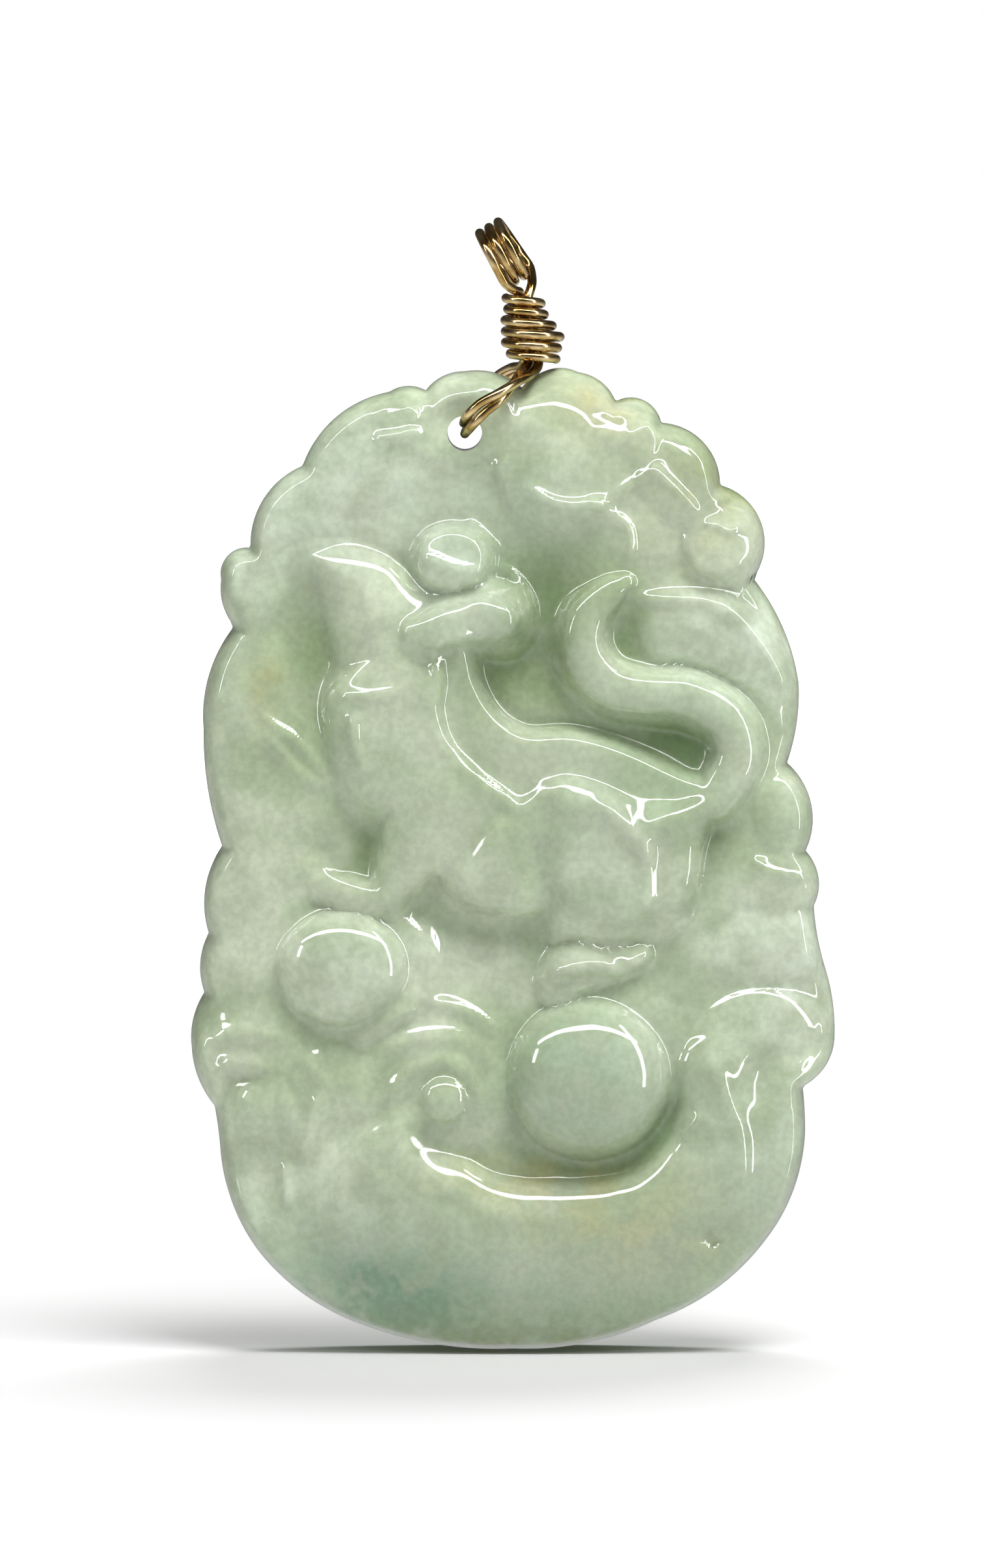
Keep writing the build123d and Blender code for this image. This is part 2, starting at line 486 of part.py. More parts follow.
        (-0.693, -0.596), (-0.701, -0.622), (-0.701, -0.652), (-0.699, -0.684), (-0.693, -0.71),
    ]),
    "pit": (0.018, -0.037, 0.0, [
        (0.586, -0.755), (0.61, -0.766), (0.635, -0.782),
    ]),
}


def arc_points(start, end, bulge, steps):
    """Points from start up to but not including end, on an arc that swells outwards by bulge."""
    start = np.array(start)
    end = np.array(end)
    chord = np.linalg.norm(end - start)
    ways = np.linspace(0, 1, steps, endpoint=False)
    points = start + (end - start) * ways[:, None]
    if abs(bulge) < chord / 200:
        return points
    normal = np.array([start[1] - end[1], end[0] - start[0]]) / chord
    radius = (chord**2 / 4 + bulge**2) / (2 * abs(bulge))
    rise = np.sqrt(radius**2 - ((ways - 0.5) * chord) ** 2) - (radius - abs(bulge))
    return points + np.sign(bulge) * rise[:, None] * normal


def outline_points():
    """The plaque's lobed outline, clockwise, in millimetres from its middle."""
    pieces = []
    for index in range(len(outline_rows)):
        across, up, _ = outline_rows[index - 1]
        next_across, next_up, bulge = outline_rows[index]
        start = (across * half_width, up * half_height)
        end = (next_across * half_width, next_up * half_height)
        pieces.append(arc_points(start, end, bulge * half_width, arc_steps))
    return np.vstack(pieces)


def smooth_curve(rows, steps, closed=False):
    """Points on a smooth curve through the rows, whatever number of columns they have."""
    rows = np.array(rows, float)
    count = len(rows)
    ways = np.linspace(0, 1, steps, endpoint=False)[:, None]
    pieces = []
    for i in range(count if closed else count - 1):
        near = np.arange(i - 1, i + 3)
        near = near % count if closed else np.clip(near, 0, count - 1)
        before, start, end, after = rows[near]
        bend = 2 * before - 5 * start + 4 * end - after
        twist = 3 * start - before - 3 * end + after
        pieces.append(start + 0.5 * ((end - before) * ways + bend * ways**2 + twist * ways**3))
    if not closed:
        pieces.append(rows[-1:])
    return np.vstack(pieces)


def in_stone(rows):
    """Rows whose across and up shares become millimetres from the middle; further columns stay."""
    rows = np.array(rows, float)
    rows[:, 0] *= half_width
    rows[:, 1] *= half_height
    return rows


def nearest(x, z, curve):
    """Distance to a curve of x, z rows, share of its length, side of it, and its further columns there."""
    best = np.full(x.shape, 1e9)
    along = np.zeros(x.shape)
    side = np.zeros(x.shape)
    extra = np.zeros(x.shape + (curve.shape[1] - 2,))
    lengths = np.linalg.norm(np.diff(curve[:, :2], axis=0), axis=1)
    reached = np.concatenate([[0], np.cumsum(lengths)])
    for i, length in enumerate(lengths):
        if length == 0:
            continue
        start, end = curve[i], curve[i + 1]
        step = end[:2] - start[:2]
        way = np.clip(((x - start[0]) * step[0] + (z - start[1]) * step[1]) / length**2, 0, 1)
        away_x = x - start[0] - way * step[0]
        away_z = z - start[1] - way * step[1]
        away = np.hypot(away_x, away_z)
        closer = away < best
        best = np.where(closer, away, best)
        along = np.where(closer, (reached[i] + way * length) / reached[-1], along)
        side = np.where(closer, np.sign(step[0] * away_z - step[1] * away_x), side)
        extra = np.where(closer[..., None], start[2:] + (end - start)[2:] * way[..., None], extra)
    return best, along, side, extra


def is_inside(x, z, loop):
    """True where a point lies inside a closed line."""
    inside = np.zeros(x.shape, bool)
    for (x0, z0), (x1, z1) in zip(loop, np.roll(loop, 1, axis=0)):
        if z0 == z1:
            continue
        inside ^= ((z0 > z) != (z1 > z)) & (x < (x1 - x0) * (z - z0) / (z1 - z0) + x0)
    return inside


def join_forms(one, other, blend):
    """The higher of two heights, run together over the blend where they meet."""
    return 0.5 * (one + other + np.sqrt((one - other) ** 2 + blend**2))


def oval_reach(x, z, across, up, wide, high, turn):
    """Squared distance from an oval's middle, 1 on its rim; the turn is clockwise in degrees."""
    angle = np.radians(turn)
    dx = x - across * half_width
    dz = z - up * half_height
    along = dx * np.cos(angle) - dz * np.sin(angle)
    beside = dx * np.sin(angle) + dz * np.cos(angle)
    return (along / (wide * half_width)) ** 2 + (beside / (high * half_width)) ** 2


def dome(x, z, row):
    """Height of a rounded swelling, which falls away steeply outside its rim."""
    _, across, up, wide, high, turn, low, top, _ = row
    reach = oval_reach(x, z, across, up, wide, high, turn)
    swell = low + (top - low) * np.sqrt(np.clip(1 - reach, 0, None))
    outside = np.clip(np.sqrt(reach) - 1, 0, None) * min(wide, high) * half_width
    return jade_thickness * swell - side_slope * outside


def rod(x, z, rows):
    """Height of a round rod that lies in the stone; rows hold across, up, radius and top."""
    away, _, _, extra = nearest(x, z, smooth_curve(in_stone(rows), curve_steps))
    radius = extra[..., 0] * half_width
    top = extra[..., 1] * jade_thickness
    rise = rod_rise * radius
    crown = np.sqrt(np.clip(1 - (away / radius) ** 2, 0, None))
    return top - rise + rise * crown - side_slope * np.clip(away - radius, 0, None)


def plate(x, z, low, top, slope, rows):
    """Height of a raised field whose rounded border is slope wide."""
    loop = smooth_curve(in_stone(rows), curve_steps, closed=True)
    away = nearest(x, z, np.vstack([loop, loop[:1]]))[0]
    crown = np.sqrt(1 - (1 - np.clip(away / (slope * half_width), 0, 1)) ** 2)
    inside = jade_thickness * (low + (top - low) * crown)
    return np.where(is_inside(x, z, loop), inside, jade_thickness * low - side_slope * away)


def stroke(x, z, wide, rise, drop, rows):
    """Rise of a ridge, or fall of a groove, that fades at its ends; drop lowers its right-hand side."""
    away, along, side, _ = nearest(x, z, smooth_curve(in_stone(rows), curve_steps))
    ends = np.clip(np.minimum(along, 1 - along) / stroke_fade, 0, 1)
    fade = ends**2 * (3 - 2 * ends)
    ratio = away / (wide * half_width)
    step = drop * np.tanh(side * ratio) * np.exp(-away / stroke_reach)
    return jade_thickness * fade * (rise * np.exp(-(ratio**2)) + step)


def relief(x, z, outline):
    """Height of the carved front above the flat back."""
    field = ground_edge + ground_swell * (1 - (x / half_width) ** 2 - (z / half_height) ** 2)
    well = smooth_curve(in_stone(well_rows), curve_steps, closed=True)
    away = nearest(x, z, np.vstack([well, well[:1]]))[0]
    fall = np.clip(np.where(is_inside(x, z, well), away, 0) / (well_slope * half_width), 0, 1)
    height = jade_thickness * (field - well_depth * fall**2 * (3 - 2 * fall))
    for row in cloud_rows:
        height = join_forms(height, dome(x, z, row), row[-1] * jade_thickness)
    for _, across, up, wide, high, turn, depth in dent_rows:
        height -= jade_thickness * depth * np.exp(-1.2 * oval_reach(x, z, across, up, wide, high, turn))
    for row in dome_rows:
        height = join_forms(height, dome(x, z, row), row[-1] * jade_thickness)
    for blend, rows in rods.values():
        height = join_forms(height, rod(x, z, rows), blend * jade_thickness)
    for low, top, slope, blend, rows in plates.values():
        height = join_forms(height, plate(x, z, low, top, slope, rows), blend * jade_thickness)
    for wide, rise, drop, rows in lines.values():
        height += stroke(x, z, wide, rise, drop, rows)
    out = (x / half_width) ** 2 + (z / half_height) ** 2
    height -= jade_thickness * rim_fall * np.clip((out - rim_start) / (1 - rim_start), 0, 1) ** rim_curve
    inwards = np.clip(nearest(x, z, np.vstack([outline, outline[:1]]))[0] / edge_round, 0, 1)
    return edge_height + (height - edge_height) * np.sqrt(1 - (1 - inwards) ** 2)


def closed_solid(triangles):
    """One solid from a closed set of flat faces, each a list of corners."""
    faces = []
    for corners in triangles:
        faces.append(Face(Wire.make_polygon([Vector(*corner) for corner in corners])))
    return Solid(Shell(faces))


def disc_grid():
    """Rows of angle and radius share that fill a disc evenly, as a grid of across by up cells."""
    u = np.linspace(-1, 1, grid_across + 1)[None, :]
    v = np.linspace(-1, 1, grid_up + 1)[:, None]
    u = np.sign(u) * (1 - (1 - np.abs(u)) ** grid_crowding)
    v = np.sign(v) * (1 - (1 - np.abs(v)) ** grid_crowding)
    x = u * np.sqrt(1 - v**2 / 2)
    z = v * np.sqrt(1 - u**2 / 2)
    return np.arctan2(z, x), np.clip(np.hypot(x, z), 0, 1)


def make_jade(middle_x, middle_z):
    """The carved plaque, drilled from front to back."""
    outline = outline_points()
    outline_angle = np.arctan2(outline[:, 1] / half_height, outline[:, 0] / half_width)
    order = np.argsort(outline_angle)
    outline_reach = np.hypot(outline[:, 0] / half_width, outline[:, 1] / half_height)

    angle, share = disc_grid()
    edge = np.interp(angle, outline_angle[order], outline_reach[order], period=2 * np.pi)
    reach = share * (1 + (edge - 1) * share**4)
    x = reach * np.cos(angle) * half_width
    z = reach * np.sin(angle) * half_height
    height = relief(x, z, outline)
    rim = np.ones(share.shape, bool)
    rim[1:-1, 1:-1] = False
    height[rim] = edge_height

    front = np.stack([x + middle_x, back_plane - height, z + middle_z], axis=-1)
    triangles = []
    for j in range(grid_up):
        for i in range(grid_across):
            a, b, c, d = front[j, i], front[j, i + 1], front[j + 1, i + 1], front[j + 1, i]
            triangles += [(a, b, c), (a, c, d)]

    # Edge wall, rounded back edge and crowned back, as rings round the rim
    rim_ring = np.concatenate([front[0, :-1], front[:-1, -1], front[-1, :0:-1], front[:0:-1, 0]])
    inwards = np.array([middle_x, 0, middle_z]) - rim_ring
    inwards[:, 1] = 0
    inwards /= np.linalg.norm(inwards, axis=1)[:, None]
    outer = rim_ring
    for turn in back_round_turns:
        angle = np.radians(turn)
        inner = rim_ring + inwards * back_round * (1 - np.cos(angle))
        inner[:, 1] = back_plane - back_round * (1 - np.sin(angle))
        triangles += band(outer, inner)
        outer = inner
    back_middle = np.array([middle_x, back_plane + back_crown, middle_z])
    for i in range(len(outer)):
        triangles.append((outer[i], back_middle, outer[(i + 1) % len(outer)]))
    blank = closed_solid(triangles)

    drill_length = 4 * jade_thickness
    drill = Cylinder(hole_diameter / 2, drill_length)
    drill_x = middle_x + hole_across * half_width
    drill_z = middle_z + hole_up * half_height
    return blank - Pos(drill_x, 0, drill_z) * Rot(90, 0, 0) * drill


def band(outer, inner):
    """Triangles between two rings of as many points."""
    triangles = []
    for i in range(len(outer)):
        j = (i + 1) % len(outer)
        triangles += [(outer[i], inner[i], outer[j]), (inner[i], inner[j], outer[j])]
    return triangles


def even_path(points, step):
    """The same line with its points spread evenly, about one step apart."""
    points = np.array(points)
    reached = np.concatenate([[0], np.cumsum(np.linalg.norm(np.diff(points, axis=0), axis=1))])
    count = max(2, int(round(reached[-1] / step)) + 1)
    places = np.linspace(0, reached[-1], count)
    return np.stack([np.interp(places, reached, points[:, k]) for k in range(3)], axis=1)


def path_frames(path, first_side):
    """Two cross directions at each point of a path, carried along it without twist."""
    along = np.gradient(path, axis=0)
    along /= np.linalg.norm(along, axis=1)[:, None]
    side = np.array(first_side, float)
    sides = []
    for direction in along:
        side = side - direction * (side @ direction)
        side = side / np.linalg.norm(side)
        sides.append(side)
    sides = np.array(sides)
    return sides, np.cross(along, sides)


def tube(path, radius):
    """A solid wire along a path, with flat ends."""
    side, other = path_frames(path, tube_side)
    rings = []
    for k in range(wire_sides):
        angle = 2 * np.pi * k / wire_sides
        rings.append(path + radius * (np.cos(angle) * side + np.sin(angle) * other))
    rings = np.stack(rings, axis=1)
    triangles = [list(rings[0][::-1]), list(rings[-1])]
    for near_ring, far_ring in zip(rings[:-1], rings[1:]):
        triangles += band(far_ring, near_ring)
    return closed_solid(triangles)


def loop_place(across, out, down):
    """Point of the leaning chain loop, from its middle: along its axis, out to the front, and down."""
    lean = np.radians(loop_lean)
    axis = np.array([np.cos(lean), 0, np.sin(lean)])
    upwards = np.array([-np.sin(lean), 0, np.cos(lean)])
    return across * axis - np.array([0, out, 0]) - (loop_bore / 2 + down) * upwards


def loop_point(turn, across):
    """Point of the chain loop, with the turn in degrees from its foot by way of the front."""
    angle = np.radians(turn)
    return loop_place(across, loop_radius * np.sin(angle), loop_radius * np.cos(angle))


def neck_point(way):
    """Point of the neck's middle line, from the loop's foot at 0 to where the legs part at 1."""
    lean = np.radians(neck_lean)
    fall = neck_length * way
    reach = np.array([fall * np.sin(lean), neck_front * fall, -fall * np.cos(lean)])
    return loop_point(0, 0) + reach


def bearing_point():
    """Where the doubled wire crosses the middle of the plaque's hole."""
    return neck_point(1) + np.array([-leg_side, -neck_point(1)[1], -leg_drop])


def leg_line(rows, depth):
    """Points between the neck's foot and the hole; rows hold shares of the way across, down and out."""
    foot = neck_point(1)
    points = []
    for across, down, out in rows:
        points.append([foot[0] - across * leg_side, out * depth, foot[2] - down * leg_drop])
    return points


def make_bail():
    """One wire: up from behind the stone, twice through the hole, and wound into the chain loop."""
    front_depth = back_plane - jade_thickness * leg_level - pair_reach - wire_clearance
    back_depth = back_plane + back_crown + pair_reach + wire_clearance
    neck = [neck_point(way) for way in neck_ways]
    line = neck + leg_line(front_leg_rows, front_depth) + leg_line(back_leg_rows, back_depth)
    middle = even_path(smooth_curve(line, curve_steps), wire_step)
    side, other = path_frames(middle, (1, 0, 0))
    reached = np.linspace(0, 1, len(middle))
    twist = np.radians(np.interp(reached, twist_ways, twist_shares) * leg_twist)[:, None]
    offset = strand_offset * (np.cos(twist) * side + np.sin(twist) * other)
    first = middle - offset
    second = middle + offset

    start_turn = loop_lead
    end_turn = 360 * loop_turns - loop_lead
    turns = np.arange(start_turn, end_turn + 1, (end_turn - start_turn) / (loop_turns * steps_per_turn))
    half = 180 * loop_turns
    winding = [loop_point(turn, loop_pitch * (turn - half) / 360) for turn in turns]
    rise = []
    fall = []
    for across, out, down in lead_rows:
        rise.append(loop_place(-across * loop_pitch, out * loop_radius, down * loop_radius))
        fall.insert(0, loop_place(across * loop_pitch, -out * loop_radius, down * loop_radius))
    path = np.vstack([first[::-1], rise, winding, fall, second])
    return tube(even_path(smooth_curve(path, 2), wire_step), wire_radius)


def make_wraps():
    """The coil round the neck, a row for each turn."""
    count = len(wrap_rows)
    ways = np.linspace(wrap_tail, count - wrap_tail, int((count - 2 * wrap_tail) * steps_per_turn) + 1)
    places = np.arange(count) + 0.5
    side = np.interp(ways, places, [row[0] for row in wrap_rows]) * wire_diameter
    reach = np.interp(ways, places, [row[1] for row in wrap_rows]) * wire_diameter
    path = []
    for way, off, radius in zip(ways, side, reach):
        fall = neck_length - wrap_foot_gap - wrap_pitch * (count - way)
        middle = neck_point(fall / neck_length)
        angle = 2 * np.pi * (way + wrap_start)
        path.append([middle[0] + off + radius * np.cos(angle), radius * np.sin(angle), middle[2]])
    return tube(np.array(path), wire_radius)


def save(shape, name):
    shape.label = name
    export_step(shape, f"parts/{name}.step")


os.makedirs("parts", exist_ok=True)
bearing = bearing_point()
hole_x = bearing[0]
hole_z = bearing[2] - (hole_diameter / 2 - pair_reach - wire_clearance)
plaque_x = hole_x - hole_across * half_width
plaque_z = hole_z - hole_up * half_height
save(make_jade(plaque_x, plaque_z), "jade_plaque")
save(make_bail(), "bail_wire")
save(make_wraps(), "wrap_wire")
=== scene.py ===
import math
import bpy
import numpy as np
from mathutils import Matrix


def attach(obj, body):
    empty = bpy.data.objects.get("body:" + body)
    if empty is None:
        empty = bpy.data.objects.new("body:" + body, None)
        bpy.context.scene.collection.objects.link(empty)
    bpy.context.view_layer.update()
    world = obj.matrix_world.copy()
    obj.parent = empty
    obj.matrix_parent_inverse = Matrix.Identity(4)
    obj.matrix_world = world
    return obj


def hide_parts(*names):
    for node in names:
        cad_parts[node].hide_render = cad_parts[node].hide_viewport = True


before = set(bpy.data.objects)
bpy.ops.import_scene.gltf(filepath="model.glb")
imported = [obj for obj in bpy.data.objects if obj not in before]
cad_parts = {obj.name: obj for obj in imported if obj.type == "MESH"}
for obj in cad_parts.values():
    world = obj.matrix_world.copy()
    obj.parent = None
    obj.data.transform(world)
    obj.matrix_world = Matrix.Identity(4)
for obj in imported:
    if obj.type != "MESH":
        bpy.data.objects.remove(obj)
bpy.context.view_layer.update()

# Carved pendant of pale green jadeite with a mouse in relief, hung on a doubled gold-coloured wire.
# The sizes below are in millimetres, the scene is in metres. +Z is up, the carved front faces -Y, and the
# origin is the inside top of the wire loop.
mm = 0.001

# Sizes of the plaque
jadeWidth = 35.6
jadeHeight = 54.0
jadeThickness = 8.0
edgeHeight = 2.2
edgeRound = 0.8
backRound = 0.9
backCrown = 0.35
backPlane = 2.4
holeDiameter = 1.9
holeAcross = -0.148          # share of half the width, from the middle
holeUp = 0.875               # share of half the height
wireClearance = 0.1
halfWidth = jadeWidth / 2
halfHeight = jadeHeight / 2

# Sizes of the wire
wireDiameter = 0.52
strandGap = 0.07
loopBore = 2.75
loopTurns = 3
loopLean = 31.0              # degrees
neckLength = 4.75
neckLean = 9.2               # degrees to the side
neckFront = -0.063           # share of its length that the neck leans forward
legSide = 3.77
legDrop = 3.49
legTwist = 180.0
legLevel = 0.69              # level of the carving that the front leg crosses
wrapPitch = 0.62
wrapFootGap = 0.1
wireRadius = wireDiameter / 2
strandOffset = wireRadius + strandGap / 2
pairReach = wireDiameter + strandGap / 2
loopRadius = loopBore / 2 + wireRadius

# Levels of the carving as shares of the thickness, and how its forms fall away
groundEdge = 0.575
groundSwell = 0.09
wellDepth = 0.075
wellSlope = 0.3
rimFall = 0.14
rimStart = 0.42
rimCurve = 1.4
sideSlope = 1.3
rodRise = 0.7
strokeFade = 0.22
dentFall = 1.2
flatArc = 200                # an arc whose chord is longer than so many swells is drawn straight
arcSteps = 14
curveSteps = 8

# The tables are in thousandths: across, wide, high, slopes, widths and radii of half the plaque's width, up
# of half its height, and levels, rises, depths and blends of its thickness. Turns are in degrees.

# Outline, clockwise: across, up, swell of the arc that comes from the row before
outlineRows = [
    (-269, 960, 16), (-150, 999, 16), (-29, 991, 8), (27, 965, 6), (98, 999, 6), (203, 997, 12),
    (320, 938, 20), (461, 894, 40), (643, 767, 54), (746, 577, 81), (887, 362, 24), (851, 199, 12),
    (909, 19, 48), (935, -93, 28), (972, -223, -6), (1000, -356, 8), (901, -463, 28), (909, -556, 2),
    (788, -775, 28), (447, -941, 32), (1, -1000, 28), (-463, -952, 24), (-786, -802, 28), (-907, -596, 24),
    (-925, -503, -2), (-996, -383, 16), (-956, -271, 16), (-943, -149, 20), (-901, 29, 32), (-958, 269, 16),
    (-863, 479, 32), (-903, 574, 16), (-812, 638, 36), (-651, 806, 48), (-382, 957, 48),
]

# Ground that is hollowed round the mouse: across, up
wellRows = [
    (-726, 574), (-584, 628), (-423, 674), (-282, 721), (21, 727), (284, 654), (384, 561), (627, 521),
    (788, 388), (728, 189), (667, 29), (647, -130), (506, -237), (445, -316), (-19, -343), (-302, -316),
    (-726, -316), (-766, -104), (-726, 96), (-766, 322), (-786, 481),
]

# Swellings of the border: name, turn, across, up, wide, high, low, top, blend
cloudRows = [
    ("cloud_left", -35, -423, 840, 272, 165, 537, 688, 100),
    ("cloud_far_left", -42, -695, 694, 202, 145, 537, 675, 100),
    ("cloud_left_knob", 0, -814, 559, 117, 125, 537, 675, 87),
    ("cloud_left_swirl", 0, -346, 894, 93, 77, 650, 719, 37),
    ("cloud_hole", 0, -136, 907, 202, 145, 575, 713, 62),
    ("cloud_top", 27, 158, 822, 218, 222, 613, 738, 75),
    ("cloud_top_knob", 0, 296, 880, 85, 85, 650, 750, 37),
    ("cloud_small", 0, 393, 864, 77, 85, 637, 738, 31),
    ("cloud_right", 48, 518, 785, 178, 133, 625, 762, 37),
    ("cloud_far_right", 10, 651, 652, 133, 121, 625, 762, 31),
    ("cloud_inner", 20, 395, 727, 182, 161, 613, 688, 62),
    ("right_knob", 0, 845, 96, 105, 129, 575, 681, 50),
    ("right_leaf", -6, 828, -40, 153, 93, 600, 675, 50),
    ("right_swell", -4, 808, -170, 202, 113, 575, 675, 75),
    ("left_swell", 0, -826, 269, 161, 363, 525, 650, 100),
    ("left_low_swell", 0, -855, -64, 145, 165, 525, 650, 87),
    ("left_knob", 0, -863, -213, 125, 141, 525, 650, 87),
    ("left_pad", 0, -681, 69, 202, 202, 550, 650, 75),
]

# Swellings of the figures: name, turn, across, up, wide, high, low, top, blend
domeRows = [
    ("leaf_bud", -38, -661, 235, 77, 141, 600, 637, 62),
    ("chest", 0, -382, 269, 178, 242, 725, 812, 56),
    ("belly", 0, -35, 40, 226, 218, 625, 812, 44),
    ("thigh_fold", 0, 284, -117, 186, 73, 625, 738, 37),
    ("left_fruit_ring", 0, -491, -215, 250, 210, 600, 681, 50),
    ("left_fruit", 0, -528, -215, 206, 182, 625, 863, 31),
    ("fruit_ring", 0, 304, -390, 246, 250, 600, 713, 37),
    ("big_fruit", 0, 233, -436, 262, 254, 588, 963, 15),
    ("left_scroll_bed", 0, -802, -449, 226, 262, 575, 725, 75),
    ("left_scroll_knob", 0, -780, -505, 87, 93, 713, 781, 19),
    ("middle_scroll_bed", 0, -221, -449, 242, 238, 588, 750, 50),
    ("middle_scroll_knob", 0, -211, -479, 77, 77, 725, 838, 19),
    ("right_scroll", 0, 768, -418, 250, 250, 613, 762, 62),
    ("right_fill", 0, 818, -556, 202, 182, 613, 787, 87),
    ("left_fill", 20, -766, -589, 242, 182, 600, 750, 100),
    ("left_link", 0, -554, -489, 170, 178, 600, 738, 75),
    ("scroll_tip", -22, 861, -423, 101, 52, 662, 744, 31),
]

# Hollows: name, turn, across, up, wide, high, depth
dentRows = [
    ("hole_funnel", 0, -181, 907, 93, 73, 69),
    ("front_of_nose", -20, 86, 604, 109, 137, 56),
    ("under_chin", 0, 58, 408, 137, 113, 56),
    ("under_tail_tip", 0, 352, 479, 89, 93, 37),
    ("over_rump", 20, 506, 269, 149, 73, 44),
    ("beside_neck", -6, -661, 448, 113, 250, 37),
    ("under_belly", 6, -150, -130, 242, 93, 62),
    ("over_paw", 20, -471, 69, 101, 153, 25),
    ("behind_rump", 0, 619, 62, 69, 77, 37),
    ("leaf_pit", 0, -584, 29, 24, 20, 31),
]

# Rods: name, blend, and rows of across, up, radius, top
rods = {
    "snout": (15, [(-306, 473, 44, 806), (-245, 479, 61, 838), (-181, 491, 71, 856), (-96, 501, 77, 863),
        (-47, 497, 69, 856)]),
    "front_leg": (37, [(-205, 154, 129, 838), (-261, 89, 125, 844), (-326, 5, 89, 800),
        (-382, -61, 54, 750)]),
    "paw": (25, [(-374, -80, 48, 725), (-473, -69, 52, 725), (-574, -45, 52, 713), (-625, -11, 40, 688)]),
    "hock": (25, [(506, -101, 52, 700), (384, -146, 48, 700), (263, -162, 44, 688), (146, -144, 40, 675)]),
    "hind_foot": (25, [(395, -186, 36, 725), (294, -205, 61, 750), (193, -215, 85, 787),
        (146, -247, 77, 762)]),
    "tail": (25, [(627, 133, 69, 775), (683, 189, 75, 775), (697, 239, 75, 775), (657, 298, 73, 775),
        (546, 340, 69, 775), (425, 348, 69, 775), (314, 359, 71, 775), (239, 399, 73, 775),
        (215, 455, 69, 762), (239, 511, 61, 750), (304, 555, 48, 725), (348, 574, 32, 688)]),
    "fruit_stem": (25, [(-463, -354, 44, 700), (-382, -306, 52, 725), (-302, -277, 44, 713)]),
    "middle_band": (31, [(-245, -285, 40, 675), (-140, -297, 48, 681), (-49, -343, 48, 681),
        (21, -396, 36, 650)]),
    "right_scroll_root": (87, [(623, -423, 121, 787), (651, -516, 153, 825), (617, -622, 174, 838),
        (506, -715, 174, 825)]),
}

# Fields with a rounded border: name, low, top, slope, blend, and rows of across, up
plates = {
    "tail_panel": (588, 675, 141, 37, [(445, 559), (546, 566), (687, 548), (788, 481), (859, 388),
        (839, 269), (758, 315), (647, 382), (526, 412), (435, 415), (374, 495)]),
    "right_ear": (688, 775, 28, 19, [(-185, 686), (-108, 668), (-76, 620), (-108, 574), (-185, 556),
        (-265, 574), (-298, 620), (-265, 668)]),
    "back_strip": (625, 744, 48, 19, [(-173, 465), (-120, 439), (-100, 372), (-47, 311), (41, 274),
        (183, 274), (344, 245), (526, 189), (627, 168), (627, 116), (425, 76), (142, 109), (-60, 136),
        (-221, 229), (-253, 348)]),
    "haunch": (762, 838, 121, 31, [(166, 178), (284, 157), (374, 120), (431, 62), (449, -11), (433, -88),
        (324, -120), (183, -124), (106, -77), (78, 5), (90, 96), (114, 157)]),
    "flank": (662, 806, 101, 15, [(-201, 428), (-185, 378), (-193, 315), (-160, 255), (-84, 202), (-9, 166),
        (31, 152), (60, 181), (120, 194), (231, 178), (324, 164), (461, 145), (546, 152), (610, 165),
        (647, 199), (724, 197), (728, 160), (671, 114), (610, 85), (586, 35), (578, -24), (546, -93),
        (445, -120), (284, -117), (162, -104), (-19, -104), (-140, -84), (-237, -24), (-302, -31),
        (-403, 29), (-403, 129), (-493, 169), (-560, 229), (-580, 309), (-564, 351), (-520, 380),
        (-443, 390), (-342, 399), (-261, 420)]),
    "left_ear": (550, 750, 182, 7, [(-730, 644), (-669, 657), (-574, 662), (-463, 654), (-374, 630),
        (-294, 585), (-181, 555), (-68, 521), (-60, 441), (-160, 348), (-201, 282), (-382, 255),
        (-524, 282), (-556, 375), (-572, 448), (-592, 515), (-621, 564), (-677, 606)]),
    "base": (613, 875, 232, 62, [(-927, -660), (-746, -606), (-604, -566), (-524, -543), (-433, -516),
        (-362, -492), (-292, -495), (-257, -560), (-140, -600), (-39, -636), (122, -646), (304, -641),
        (425, -606), (526, -547), (596, -487), (728, -513), (950, -553), (1030, -769), (627, -1008),
        (1, -1088), (-625, -1008), (-988, -835)]),
}

